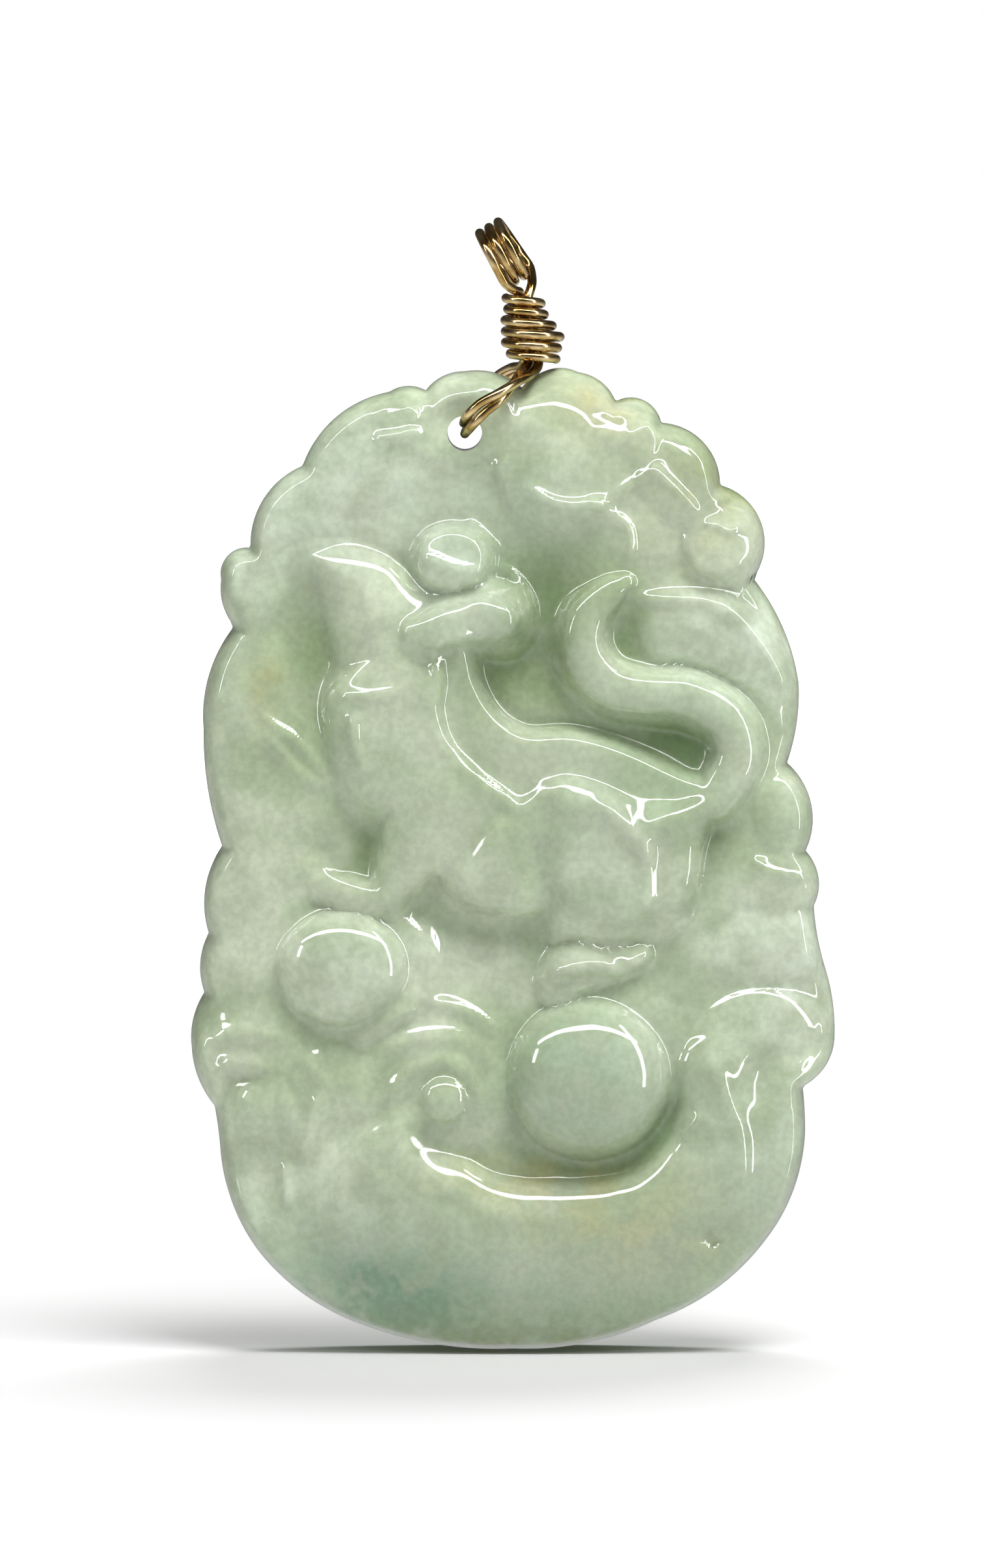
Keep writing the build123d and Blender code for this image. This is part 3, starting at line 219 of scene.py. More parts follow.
# Carved lines: name, width, rise, and rows of across, up
lines = {
    "scroll_hollow": (61, -62, [(772, -524), (764, -452), (792, -412), (853, -386), (946, -391),
        (1030, -423)]),
    "scroll_tip_edge": (14, 10, [(820, -378), (873, -372), (921, -380), (905, -404), (865, -431)]),
    "chin_edge": (16, 33, [(-76, 449), (-136, 465), (-201, 460), (-237, 436), (-241, 407), (-229, 380),
        (-229, 348), (-237, 309)]),
    "front_edge": (22, 25, [(-201, 428), (-237, 375), (-245, 332), (-241, 301), (-225, 269), (-191, 231),
        (-124, 186), (-60, 152), (17, 117), (66, 133), (122, 154), (191, 160)]),
    "leg_crease": (32, -35, [(1, 142), (-60, 102), (-110, 56), (-181, 5), (-271, -37)]),
    "chest_edge": (20, 43, [(-487, 322), (-491, 282), (-485, 242), (-467, 210), (-447, 176)]),
    "head_swell": (117, 56, [(-423, 402), (-378, 426), (-302, 464), (-213, 487), (-104, 495)]),
    "neck_crease": (48, -7, [(-625, 418), (-544, 407), (-443, 399), (-342, 402), (-257, 426)]),
    "behind_ear": (16, 33, [(-156, 699), (-112, 684), (-76, 662), (-35, 633)]),
    "behind_snout": (16, 37, [(-51, 612), (-7, 593), (29, 566), (49, 532), (53, 500)]),
    "ear_top_groove": (18, -20, [(-766, 625), (-705, 644), (-645, 660), (-544, 668), (-459, 658),
        (-378, 633), (-310, 596), (-253, 561)]),
    "ear_swell": (69, 33, [(-302, 604), (-229, 601), (-169, 596), (-100, 593), (-43, 588)]),
    "ear_streak": (22, 25, [(-302, 638), (-245, 622), (-201, 609), (-156, 601), (-116, 597), (-64, 580)]),
    "collar": (18, 21, [(-556, 348), (-512, 346), (-459, 344), (-403, 347), (-350, 355), (-302, 367)]),
    "back_groove": (24, -19, [(-108, 441), (-76, 372), (-23, 316), (53, 285), (191, 285), (354, 255),
        (526, 199)]),
    "panel_rim": (20, 37, [(344, 537), (425, 541), (506, 540), (586, 537), (687, 516)]),
    "panel_rim_right": (28, 52, [(578, 545), (647, 527), (711, 492), (768, 447), (812, 402), (841, 354),
        (849, 309)]),
    "panel_foot": (18, -28, [(314, 441), (348, 412), (405, 398), (526, 400), (627, 380), (728, 343),
        (808, 266)]),
    "belly_fold": (48, -50, [(98, 69), (82, 16), (98, -51), (146, -120)]),
    "haunch_edge": (30, 39, [(506, 128), (445, 90), (413, 43), (415, -11), (417, -74), (409, -130)]),
    "haunch_top": (44, 30, [(62, 114), (142, 128), (223, 122), (314, 101), (395, 80), (506, 88), (606, 112),
        (667, 141)]),
    "haunch_fork": (22, 37, [(253, 144), (304, 109), (356, 72), (409, 29), (417, -11)]),
    "belly_ridge": (18, 13, [(-169, -37), (-124, -4), (-84, 40), (-49, 80), (-23, 109)]),
    "under_haunch": (24, -25, [(122, -104), (263, -120), (405, -106)]),
    "under_hock": (20, -28, [(122, -144), (284, -173), (445, -150)]),
    "top_bevel": (57, -50, [(-19, 1005), (45, 997), (98, 1016), (175, 1008), (253, 973), (314, 931)]),
    "top_bar": (30, -9, [(-7, 926), (33, 918), (78, 908), (130, 894), (183, 880), (223, 874)]),
    "top_hook": (26, -18, [(223, 910), (267, 906), (312, 899), (356, 883)]),
    "cloud_edge": (22, 35, [(1, 779), (74, 753), (114, 737), (166, 729), (223, 730), (284, 739), (348, 765),
        (429, 798), (485, 827)]),
    "cloud_lip": (24, 16, [(13, 777), (86, 746), (154, 729), (231, 730), (300, 742)]),
    "cloud_curl": (16, 35, [(223, 753), (267, 730), (312, 710), (352, 690), (364, 660), (364, 620),
        (364, 588)]),
    "cloud_fold": (14, 10, [(304, 747), (364, 737), (405, 714), (433, 674)]),
    "cloud_facet": (30, -20, [(433, 848), (477, 819), (522, 785), (566, 745), (598, 713)]),
    "facet_edge": (16, 25, [(409, 824), (445, 798), (497, 766), (546, 734), (582, 707)]),
    "far_cloud_top": (16, 30, [(578, 689), (627, 691), (667, 678), (724, 691)]),
    "far_cloud_low": (16, 25, [(538, 641), (566, 612), (610, 596), (677, 606), (744, 617)]),
    "small_cloud_ring": (14, 25, [(352, 848), (372, 875), (417, 891), (437, 875), (425, 840), (380, 827)]),
    "hole_rim": (16, 25, [(-253, 894), (-233, 928), (-181, 949), (-90, 960)]),
    "hole_rim_right": (16, 20, [(-51, 955), (-19, 934), (1, 894)]),
    "hole_brow": (20, 22, [(-326, 864), (-273, 835), (-205, 809), (-120, 798), (-51, 811), (21, 838)]),
    "swirl_line": (16, 30, [(-443, 864), (-403, 867), (-350, 872), (-302, 878), (-273, 864)]),
    "swirl_top": (12, 22, [(-346, 918), (-322, 928), (-302, 918), (-310, 896)]),
    "leaf_line": (16, 33, [(-802, 311), (-766, 298), (-730, 279), (-689, 263), (-649, 237), (-608, 209),
        (-568, 176), (-536, 144)]),
    "leaf_line_low": (18, 28, [(-762, 279), (-738, 250), (-693, 210), (-649, 181), (-584, 162),
        (-544, 154)]),
    "right_leaf_rim": (14, 18, [(717, 29), (748, 8), (788, -13), (859, -24), (929, -32)]),
    "ring_edge": (18, 18, [(-302, -88), (-253, -144), (-233, -210), (-261, -269)]),
    "toe_line": (20, 35, [(70, -231), (122, -221), (193, -207), (263, -201), (316, -218), (356, -210),
        (405, -184), (445, -165)]),
    "toe_groove": (16, -25, [(94, -253), (183, -237), (273, -234), (344, -245)]),
    "root_edge": (26, 28, [(602, -364), (627, -415), (669, -487), (703, -553), (709, -629), (699, -697)]),
    "root_spark": (16, 18, [(506, -564), (546, -535), (590, -505)]),
    "base_shoulder": (28, 11, [(-403, -503), (-370, -540), (-302, -601), (-201, -654), (-104, -702),
        (1, -715), (142, -718), (334, -713), (437, -673), (538, -590)]),
    "stem_mark": (20, 33, [(-427, -343), (-382, -319), (-338, -303), (-282, -298)]),
    "band_line": (20, 30, [(-286, -285), (-213, -287), (-124, -306), (-35, -348)]),
    "fruit_groove": (30, -18, [(-90, -523), (-19, -566), (122, -612), (263, -622), (395, -596), (485, -509),
        (526, -449)]),
    "left_outer_ring": (32, 28, [(-984, -489), (-980, -423), (-952, -378), (-897, -351), (-816, -346),
        (-726, -352), (-661, -376), (-617, -412), (-592, -463), (-588, -516)]),
    "left_inner_ring": (30, 37, [(-907, -543), (-927, -489), (-919, -439), (-883, -410), (-826, -410),
        (-766, -426), (-709, -457), (-685, -509), (-693, -562)]),
    "left_knob_groove": (20, -22, [(-875, -566), (-897, -509), (-867, -449), (-780, -430), (-693, -452),
        (-665, -509), (-693, -566)]),
    "middle_outer_ring": (32, 28, [(-479, -529), (-479, -460), (-447, -412), (-386, -372), (-302, -354),
        (-201, -348), (-136, -362), (-88, -388), (-51, -431), (-39, -489), (-51, -543)]),
    "middle_inner_ring": (26, 35, [(-358, -543), (-370, -489), (-346, -439), (-292, -415), (-211, -399),
        (-148, -418), (-112, -460), (-104, -509), (-124, -556)]),
    "scroll_spark": (18, 15, [(-645, -415), (-600, -430), (-568, -443), (-536, -465)]),
    "left_line": (20, 45, [(-600, -455), (-608, -496), (-625, -543), (-649, -588), (-669, -617)]),
    "left_line_low": (18, 33, [(-693, -596), (-701, -622), (-701, -652), (-699, -684), (-693, -710)]),
    "pit": (18, -37, [(586, -755), (610, -766), (635, -782)]),
}


def deselectAll():
    if bpy.context.object and bpy.context.object.mode != "OBJECT":
        bpy.ops.object.mode_set(mode="OBJECT")
    bpy.ops.object.select_all(action="DESELECT")


def pickOnly(piece):
    deselectAll()
    piece.select_set(True)
    bpy.context.view_layer.objects.active = piece


def shares(row):
    return [value / 1000 for value in row]


def arcPoints(start, end, bulge):
    start, end = np.array(start), np.array(end)
    chord = np.linalg.norm(end - start)
    ways = np.linspace(0, 1, arcSteps, endpoint=False)
    points = start + (end - start) * ways[:, None]
    if abs(bulge) < chord / flatArc:
        return points
    normal = np.array([start[1] - end[1], end[0] - start[0]]) / chord
    radius = (chord**2 / 4 + bulge**2) / (2 * abs(bulge))
    rise = np.sqrt(radius**2 - ((ways - 0.5) * chord) ** 2) - (radius - abs(bulge))
    return points + np.sign(bulge) * rise[:, None] * normal


def outlinePoints():
    rows = np.array(outlineRows) / 1000
    pieces = []
    for (across, up, _), (nextAcross, nextUp, bulge) in zip(np.roll(rows, 1, axis=0), rows):
        start = (across * halfWidth, up * halfHeight)
        end = (nextAcross * halfWidth, nextUp * halfHeight)
        pieces.append(arcPoints(start, end, bulge * halfWidth))
    return np.vstack(pieces)


def smoothCurve(rows, steps, closed=False):
    # a curve that runs through its rows
    rows = np.array(rows, float)
    count = len(rows)
    ways = np.linspace(0, 1, steps, endpoint=False)[:, None]
    pieces = []
    for i in range(count if closed else count - 1):
        near = np.arange(i - 1, i + 3)
        near = near % count if closed else np.clip(near, 0, count - 1)
        before, start, end, after = rows[near]
        bend = 2 * before - 5 * start + 4 * end - after
        twist = 3 * start - before - 3 * end + after
        pieces.append(start + 0.5 * ((end - before) * ways + bend * ways**2 + twist * ways**3))
    if not closed:
        pieces.append(rows[-1:])
    return np.vstack(pieces)


def stoneCurve(rows, closed=False):
    rows = np.array(rows) / 1000
    rows[:, 0] *= halfWidth
    rows[:, 1] *= halfHeight
    return smoothCurve(rows, curveSteps, closed)


def nearest(x, z, curve):
    # distance to a curve, share of its length there, and its further columns there
    best = np.full(x.shape, 1e9)
    along = np.zeros(x.shape)
    extra = np.zeros(x.shape + (curve.shape[1] - 2,))
    lengths = np.linalg.norm(np.diff(curve[:, :2], axis=0), axis=1)
    reached = np.concatenate([[0], np.cumsum(lengths)])
    for i, length in enumerate(lengths):
        if length == 0:
            continue
        start, end = curve[i], curve[i + 1]
        step = end[:2] - start[:2]
        way = np.clip(((x - start[0]) * step[0] + (z - start[1]) * step[1]) / length**2, 0, 1)
        away = np.hypot(x - start[0] - way * step[0], z - start[1] - way * step[1])
        closer = away < best
        best = np.where(closer, away, best)
        along = np.where(closer, (reached[i] + way * length) / reached[-1], along)
        extra = np.where(closer[..., None], start[2:] + (end - start)[2:] * way[..., None], extra)
    return best, along, extra


def fromEdge(x, z, loop):
    return nearest(x, z, np.vstack([loop, loop[:1]]))[0]


def isInside(x, z, loop):
    inside = np.zeros(x.shape, bool)
    for (x0, z0), (x1, z1) in zip(loop, np.roll(loop, 1, axis=0)):
        if z0 == z1:
            continue
        inside ^= ((z0 > z) != (z1 > z)) & (x < (x1 - x0) * (z - z0) / (z1 - z0) + x0)
    return inside


def joinForms(one, other, blend):
    return 0.5 * (one + other + np.sqrt((one - other) ** 2 + (blend * jadeThickness) ** 2))


def roundedEdge(away, reach):
    return np.sqrt(1 - (1 - np.clip(away / reach, 0, 1)) ** 2)


def ovalReach(x, z, turn, across, up, wide, high):
    angle = np.radians(turn)
    dx = x - across * halfWidth
    dz = z - up * halfHeight
    along = dx * np.cos(angle) - dz * np.sin(angle)
    beside = dx * np.sin(angle) + dz * np.cos(angle)
    return (along / (wide * halfWidth)) ** 2 + (beside / (high * halfWidth)) ** 2


def dome(x, z, turn, across, up, wide, high, low, top):
    reach = ovalReach(x, z, turn, across, up, wide, high)
    swell = low + (top - low) * np.sqrt(np.clip(1 - reach, 0, None))
    outside = np.clip(np.sqrt(reach) - 1, 0, None) * min(wide, high) * halfWidth
    return jadeThickness * swell - sideSlope * outside


def rod(x, z, rows):
    away, _, extra = nearest(x, z, stoneCurve(rows))
    radius = extra[..., 0] * halfWidth
    top = extra[..., 1] * jadeThickness
    rise = rodRise * radius
    crown = np.sqrt(np.clip(1 - (away / radius) ** 2, 0, None))
    return top - rise + rise * crown - sideSlope * np.clip(away - radius, 0, None)


def plate(x, z, low, top, slope, rows):
    loop = stoneCurve(rows, closed=True)
    away = fromEdge(x, z, loop)
    inside = jadeThickness * (low + (top - low) * roundedEdge(away, slope * halfWidth))
    return np.where(isInside(x, z, loop), inside, jadeThickness * low - sideSlope * away)


def stroke(x, z, wide, rise, rows):
    away, along, _ = nearest(x, z, stoneCurve(rows))
    ends = np.clip(np.minimum(along, 1 - along) / strokeFade, 0, 1)
    fade = ends**2 * (3 - 2 * ends)
    return jadeThickness * fade * (rise * np.exp(-((away / (wide * halfWidth)) ** 2)))


def relief(x, z, outline):
    # height of the carved front above the flat back, in millimetres
    out = (x / halfWidth) ** 2 + (z / halfHeight) ** 2
    field = groundEdge + groundSwell * (1 - (x / halfWidth) ** 2 - (z / halfHeight) ** 2)
    well = stoneCurve(wellRows, closed=True)
    away = np.where(isInside(x, z, well), fromEdge(x, z, well), 0)
    fall = np.clip(away / (wellSlope * halfWidth), 0, 1)
    height = jadeThickness * (field - wellDepth * fall**2 * (3 - 2 * fall))
    for _, turn, *row in cloudRows:
        *form, blend = shares(row)
        height = joinForms(height, dome(x, z, turn, *form), blend)
    for _, turn, *row in dentRows:
        *oval, depth = shares(row)
        height -= jadeThickness * depth * np.exp(-dentFall * ovalReach(x, z, turn, *oval))
    for _, turn, *row in domeRows:
        *form, blend = shares(row)
        height = joinForms(height, dome(x, z, turn, *form), blend)
    for blend, points in rods.values():
        height = joinForms(height, rod(x, z, points), blend / 1000)
    for *row, points in plates.values():
        *form, blend = shares(row)
        height = joinForms(height, plate(x, z, *form, points), blend)
    for *row, points in lines.values():
        height += stroke(x, z, *shares(row), points)
    height -= jadeThickness * rimFall * np.clip((out - rimStart) / (1 - rimStart), 0, 1) ** rimCurve
    return edgeHeight + (height - edgeHeight) * roundedEdge(fromEdge(x, z, outline), edgeRound)


def softened(field, reach):
    # even blur over reach cells both ways
    offsets = np.arange(-int(3 * reach), int(3 * reach) + 1)
    weights = np.exp(-0.5 * (offsets / reach) ** 2)
    weights /= weights.sum()
    for axis in (0, 1):
        total = 0
        for offset, weight in zip(offsets, weights):
            places = np.clip(np.arange(field.shape[axis]) + offset, 0, field.shape[axis] - 1)
            total = total + weight * np.take(field, places, axis=axis)
        field = total
    return field


def sampled(field, x, z, lowX, lowZ, cell):
    # value of a field on even cells from its lower left corner, between its cells
    lastPlace = 1.001    # just inside the last cell
    i = np.clip((x - lowX) / cell, 0, field.shape[1] - lastPlace)
    j = np.clip((z - lowZ) / cell, 0, field.shape[0] - lastPlace)
    column, row = i.astype(int), j.astype(int)
    wayX, wayZ = i - column, j - row
    low = field[row, column] * (1 - wayX) + field[row, column + 1] * wayX
    high = field[row + 1, column] * (1 - wayX) + field[row + 1, column + 1] * wayX
    return low * (1 - wayZ) + high * wayZ


# Places that the plaque and the wire share
def loopPlace(across, out, down):
    lean = np.radians(loopLean)
    axis = np.array([np.cos(lean), 0, np.sin(lean)])
    upwards = np.array([-np.sin(lean), 0, np.cos(lean)])
    return across * axis - np.array([0, out, 0]) - (loopBore / 2 + down) * upwards


def loopPoint(turn, across):
    angle = np.radians(turn)
    return loopPlace(across, loopRadius * np.sin(angle), loopRadius * np.cos(angle))


def neckPoint(way):
    lean = np.radians(neckLean)
    fall = neckLength * way
    return loopPoint(0, 0) + np.array([fall * np.sin(lean), neckFront * fall, -fall * np.cos(lean)])


bearing = neckPoint(1) + np.array([-legSide, -neckPoint(1)[1], -legDrop])
holeX = bearing[0]
holeZ = bearing[2] - (holeDiameter / 2 - pairReach - wireClearance)
plaqueX = holeX - holeAcross * halfWidth
plaqueZ = holeZ - holeUp * halfHeight

plaque = {
    "acrossCells": 212,      # cells of the carved front from side to side
    "upCells": 322,
    "crowding": 1.12,        # above 1 crowds the cells at the rim
    "polishTurns": 2,        # rounds of smoothing, as a polishing wheel would leave it
    "polishShare": 0.5,
    "roundTurns": (30, 60, 90),                   # rings of the rounded back edge, in degrees
    "backRings": (0.12, 0.3, 0.55, 0.8, 0.93),    # shares of the way to the middle of the back
    "outlineFade": 4,        # power with which the outline's shape fades towards the middle
    "frontSlack": 0.05,      # mm
    "backSlack": 0.001,      # mm
    "drillSides": 64,
    "drillLength": 30,       # mm
    "smoothAngle": 42,
    "hollowBlur": 1.5,       # mm over which a hollow is told from a rise
    "hollowFine": 0.3,       # mm
    "hollowCell": 0.4,       # mm
    "hollowMargin": 1.1,     # times the half sizes
    "backHollow": -0.3,      # the back counts as raised by so many mm
    "tintLimit": 1.5,
}


def readPoints(mesh):
    flat = np.empty(len(mesh.vertices) * 3)
    mesh.vertices.foreach_get("co", flat)
    return flat.reshape(-1, 3)


def writePoints(mesh, places):
    mesh.vertices.foreach_set("co", places.ravel())
    mesh.update()


def addAttribute(mesh, name, values):
    layer = mesh.attributes.new(name, "FLOAT", "POINT")
    layer.data.foreach_set("value", values.astype(np.float32))


def makeFront(outline):
    # a grid drawn out to the outline and raised to the relief
    bpy.ops.mesh.primitive_grid_add(x_subdivisions=plaque["acrossCells"],
                                    y_subdivisions=plaque["upCells"], size=2)
    piece = bpy.context.object
    piece.name = "carvedJade"
    flat = readPoints(piece.data)
    u, v = np.clip(flat[:, 0], -1, 1), np.clip(flat[:, 1], -1, 1)
    nearlyOne = 1 - 1e-6
    rim = (np.abs(u) > nearlyOne) | (np.abs(v) > nearlyOne)
    u = np.sign(u) * (1 - (1 - np.abs(u)) ** plaque["crowding"])
    v = np.sign(v) * (1 - (1 - np.abs(v)) ** plaque["crowding"])
    discX = u * np.sqrt(1 - v**2 / 2)
    discZ = v * np.sqrt(1 - u**2 / 2)
    angle = np.arctan2(discZ, discX)
    share = np.clip(np.hypot(discX, discZ), 0, 1)
    outlineAngle = np.arctan2(outline[:, 1] / halfHeight, outline[:, 0] / halfWidth)
    outlineReach = np.hypot(outline[:, 0] / halfWidth, outline[:, 1] / halfHeight)
    order = np.argsort(outlineAngle)
    edge = np.interp(angle, outlineAngle[order], outlineReach[order], period=2 * np.pi)
    reach = share * (1 + (edge - 1) * share ** plaque["outlineFade"])
    x = reach * np.cos(angle) * halfWidth
    z = reach * np.sin(angle) * halfHeight
    height = relief(x, z, outline)
    height[rim] = edgeHeight
    writePoints(piece.data, np.stack([x + plaqueX, backPlane - height, z + plaqueZ], axis=-1) * mm)

    # polished: the sharpest creases and crests are worn round
    keep = piece.vertex_groups.new(name="carving")
    keep.add([int(i) for i in np.nonzero(~rim)[0]], 1.0, "REPLACE")
    polish = piece.modifiers.new("polish", "SMOOTH")
    polish.factor = plaque["polishShare"]
    polish.iterations = plaque["polishTurns"]
    polish.vertex_group = "carving"
    pickOnly(piece)
    bpy.ops.object.modifier_apply(modifier="polish")
    return piece


def closeBack(mesh):
    # rim wall, rounded back edge and crowned back
    bpy.ops.object.mode_set(mode="EDIT")
    bpy.ops.mesh.select_mode(type="EDGE")
    bpy.ops.mesh.select_all(action="DESELECT")
    bpy.ops.mesh.select_non_manifold()
    middle = (plaqueX * mm, 0, plaqueZ * mm)
    rings = [(backPlane - backRound, 0.0)]
    for turn in plaque["roundTurns"]:
        angle = math.radians(turn)
        rings.append((backPlane - backRound * (1 - math.sin(angle)), backRound * (1 - math.cos(angle))))
    for share in plaque["backRings"]:
        rings.append((backPlane, share * halfWidth))
    depth, inset = backPlane - edgeHeight, 0.0
    for nextDepth, nextInset in rings:
        move = (0, (nextDepth - depth) * mm, 0)
        bpy.ops.mesh.extrude_edges_move(TRANSFORM_OT_translate={"value": move})
        shrink = (halfWidth - nextInset) / (halfWidth - inset)
        if nextInset > inset:
            bpy.ops.transform.resize(value=(shrink, 1, shrink), center_override=middle)
        depth, inset = nextDepth, nextInset
    bpy.ops.mesh.merge(type="CENTER")
    bpy.ops.mesh.select_all(action="SELECT")
    bpy.ops.mesh.normals_make_consistent(inside=False)
    bpy.ops.object.mode_set(mode="OBJECT")
    places = readPoints(mesh)
    onBack = places[:, 1] > (backPlane - plaque["backSlack"]) * mm
    acrossWay = (places[:, 0] / mm - plaqueX) / halfWidth
    upWay = (places[:, 2] / mm - plaqueZ) / halfHeight
    crown = backPlane + backCrown * np.clip(1 - (acrossWay**2 + upWay**2), 0, 1)
    places[:, 1] = np.where(onBack, crown * mm, places[:, 1])
    writePoints(mesh, places)


def drillHole(piece):
    # from front to back
    deselectAll()
    bpy.ops.mesh.primitive_cylinder_add(
        vertices=plaque["drillSides"], radius=holeDiameter / 2 * mm, depth=plaque["drillLength"] * mm,
        location=(holeX * mm, 0, holeZ * mm), rotation=(math.pi / 2, 0, 0))
    drill = bpy.context.object
    bpy.ops.object.transform_apply(location=True, rotation=True, scale=True)
    cut = piece.modifiers.new("drilled", "BOOLEAN")
    cut.operation = "DIFFERENCE"
    cut.solver = "EXACT"
    cut.object = drill
    pickOnly(piece)
    bpy.ops.object.modifier_apply(modifier="drilled")
    bpy.data.objects.remove(drill, do_unlink=True)
    piece.vertex_groups.clear()


def addShades(mesh, outline):
    # where the stone is hollow, and where its listed clouds of colour are
    places = readPoints(mesh) / mm
    px, pz = places[:, 0] - plaqueX, places[:, 2] - plaqueZ
    cell = plaque["hollowCell"]
    reachX, reachZ = halfWidth * plaque["hollowMargin"], halfHeight * plaque["hollowMargin"]
    gridX, gridZ = np.meshgrid(np.arange(-reachX, reachX, cell), np.arange(-reachZ, reachZ, cell))
    ground = np.where(isInside(gridX, gridZ, outline), relief(gridX, gridZ, outline), edgeHeight)
    depth = softened(ground, plaque["hollowBlur"] / cell) - softened(ground, plaque["hollowFine"] / cell)
    hollow = sampled(depth, px, pz, -reachX, -reachZ, cell)
    onFront = places[:, 1] < backPlane - edgeHeight + plaque["frontSlack"]
    # hollow gives the colour its painted shade in the hollows and its painted light on the raised parts,
    # and roughens the hollows
    addAttribute(mesh, "hollow", np.where(onFront, hollow, plaque["backHollow"]))
    for kind, rows in tints.items():
        tint = np.zeros(len(px))
        for _, turn, *row in rows:
            *oval, strength = shares(row)
            tint += strength * np.exp(-ovalReach(px, pz, turn, *oval))
        addAttribute(mesh, kind + "Cloud", np.clip(tint, 0, plaque["tintLimit"]))


def makePlaque():
    outline = outlinePoints()
    piece = makeFront(outline)
    closeBack(piece.data)
    drillHole(piece)
    addShades(piece.data, outline)
    pickOnly(piece)
    bpy.ops.object.shade_smooth_by_angle(angle=math.radians(plaque["smoothAngle"]))
    print("plaque:", len(piece.data.vertices), "points")
    return piece


wire = {
    "bevelSteps": 5,         # gives a round of 24 sides
    "smoothAngle": 50,
    "step": 0.16,            # mm between the rings of the wire
    "stepsPerTurn": 40,
    "legSteps": 14,          # points between two rows of a leg
    "leadSteps": 6,
    "neckWays": (0.24, 0.4, 0.6, 0.8, 1.0),
    # the leads join the strands to the loop and share a few of their points
    "loopLead": 60,          # degrees
    "leadNear": 14,
    "leadSkip": 3,
    "leadRows": [(0.62, 0.16, 1.42), (0.98, 0.46, 1.23), (1.36, 0.76, 0.87)],    # across, out, down
    # legs: across, down, out
    "frontLeg": [
        (0.10, 0.14, 0.33), (0.27, 0.31, 0.76), (0.49, 0.50, 0.98), (0.73, 0.67, 1.0), (0.91, 0.86, 0.92),
        (1.0, 1.0, 0.6), (1.0, 1.0, 0.2),
    ],
    "backLeg": [
        (1.0, 1.0, 0.2), (1.0, 1.0, 0.55), (0.99, 0.98, 0.85), (0.88, 0.76, 1.02), (0.66, 0.43, 1.03),
        (0.45, 0.21, 0.98), (0.25, 0.08, 0.60), (0.10, 0.04, 0.27), (0.04, -0.12, 0.16),
        (0.03, -0.30, 0.16), (0.02, -0.42, 0.16),
    ],
    "twistWays": (0, 0.2, 0.45, 1),
    "twistShares": (0, 0, 1, 1),
    # wraps from the top: side shift and radius, as shares of the wire's diameter
    "wrapRows": [(0.05, 1.8), (0.05, 1.82), (0.0, 2.4), (0.5, 2.9), (0.16, 2.8), (0.18, 2.3)],
    "wrapStart": 0.25,       # turns
    "wrapTail": 0.25,
}


def evenPath(points):
    points = np.array(points)
    reached = np.concatenate([[0], np.cumsum(np.linalg.norm(np.diff(points, axis=0), axis=1))])
    count = max(2, int(round(reached[-1] / wire["step"])) + 1)
    places = np.linspace(0, reached[-1], count)
    return np.stack([np.interp(places, reached, points[:, k]) for k in range(3)], axis=1)


def pathFrames(path, firstSide):
    along = np.gradient(path, axis=0)
    along /= np.linalg.norm(along, axis=1)[:, None]
    side = np.array(firstSide, float)
    sides = []
    for direction in along:
        side = side - direction * (side @ direction)
        side = side / np.linalg.norm(side)
        sides.append(side)
    sides = np.array(sides)
    return sides, np.cross(along, sides)


def legLine(rows, depth):
    foot = neckPoint(1)
    return [[foot[0] - across * legSide, out * depth, foot[2] - down * legDrop]
            for across, down, out in rows]


def drawnWire(name, path):
    # a path bevelled round, made a mesh
    deselectAll()
    bpy.ops.curve.primitive_nurbs_path_add()
    piece = bpy.context.object
    piece.name = name
    curve = piece.data
    curve.splines.clear()
    spline = curve.splines.new("POLY")
    spline.points.add(len(path) - 1)
    for point, place in zip(spline.points, path):
        point.co = (*(place * mm), 1)
    curve.bevel_depth = wireRadius * mm
    curve.bevel_resolution = wire["bevelSteps"]
    curve.use_fill_caps = True
    bpy.ops.object.location_clear()
    bpy.ops.object.convert(target="MESH")
    piece = bpy.context.object
    bpy.ops.object.shade_smooth_by_angle(angle=math.radians(wire["smoothAngle"]))
    print(name + ":", len(piece.data.vertices), "points")
    return piece


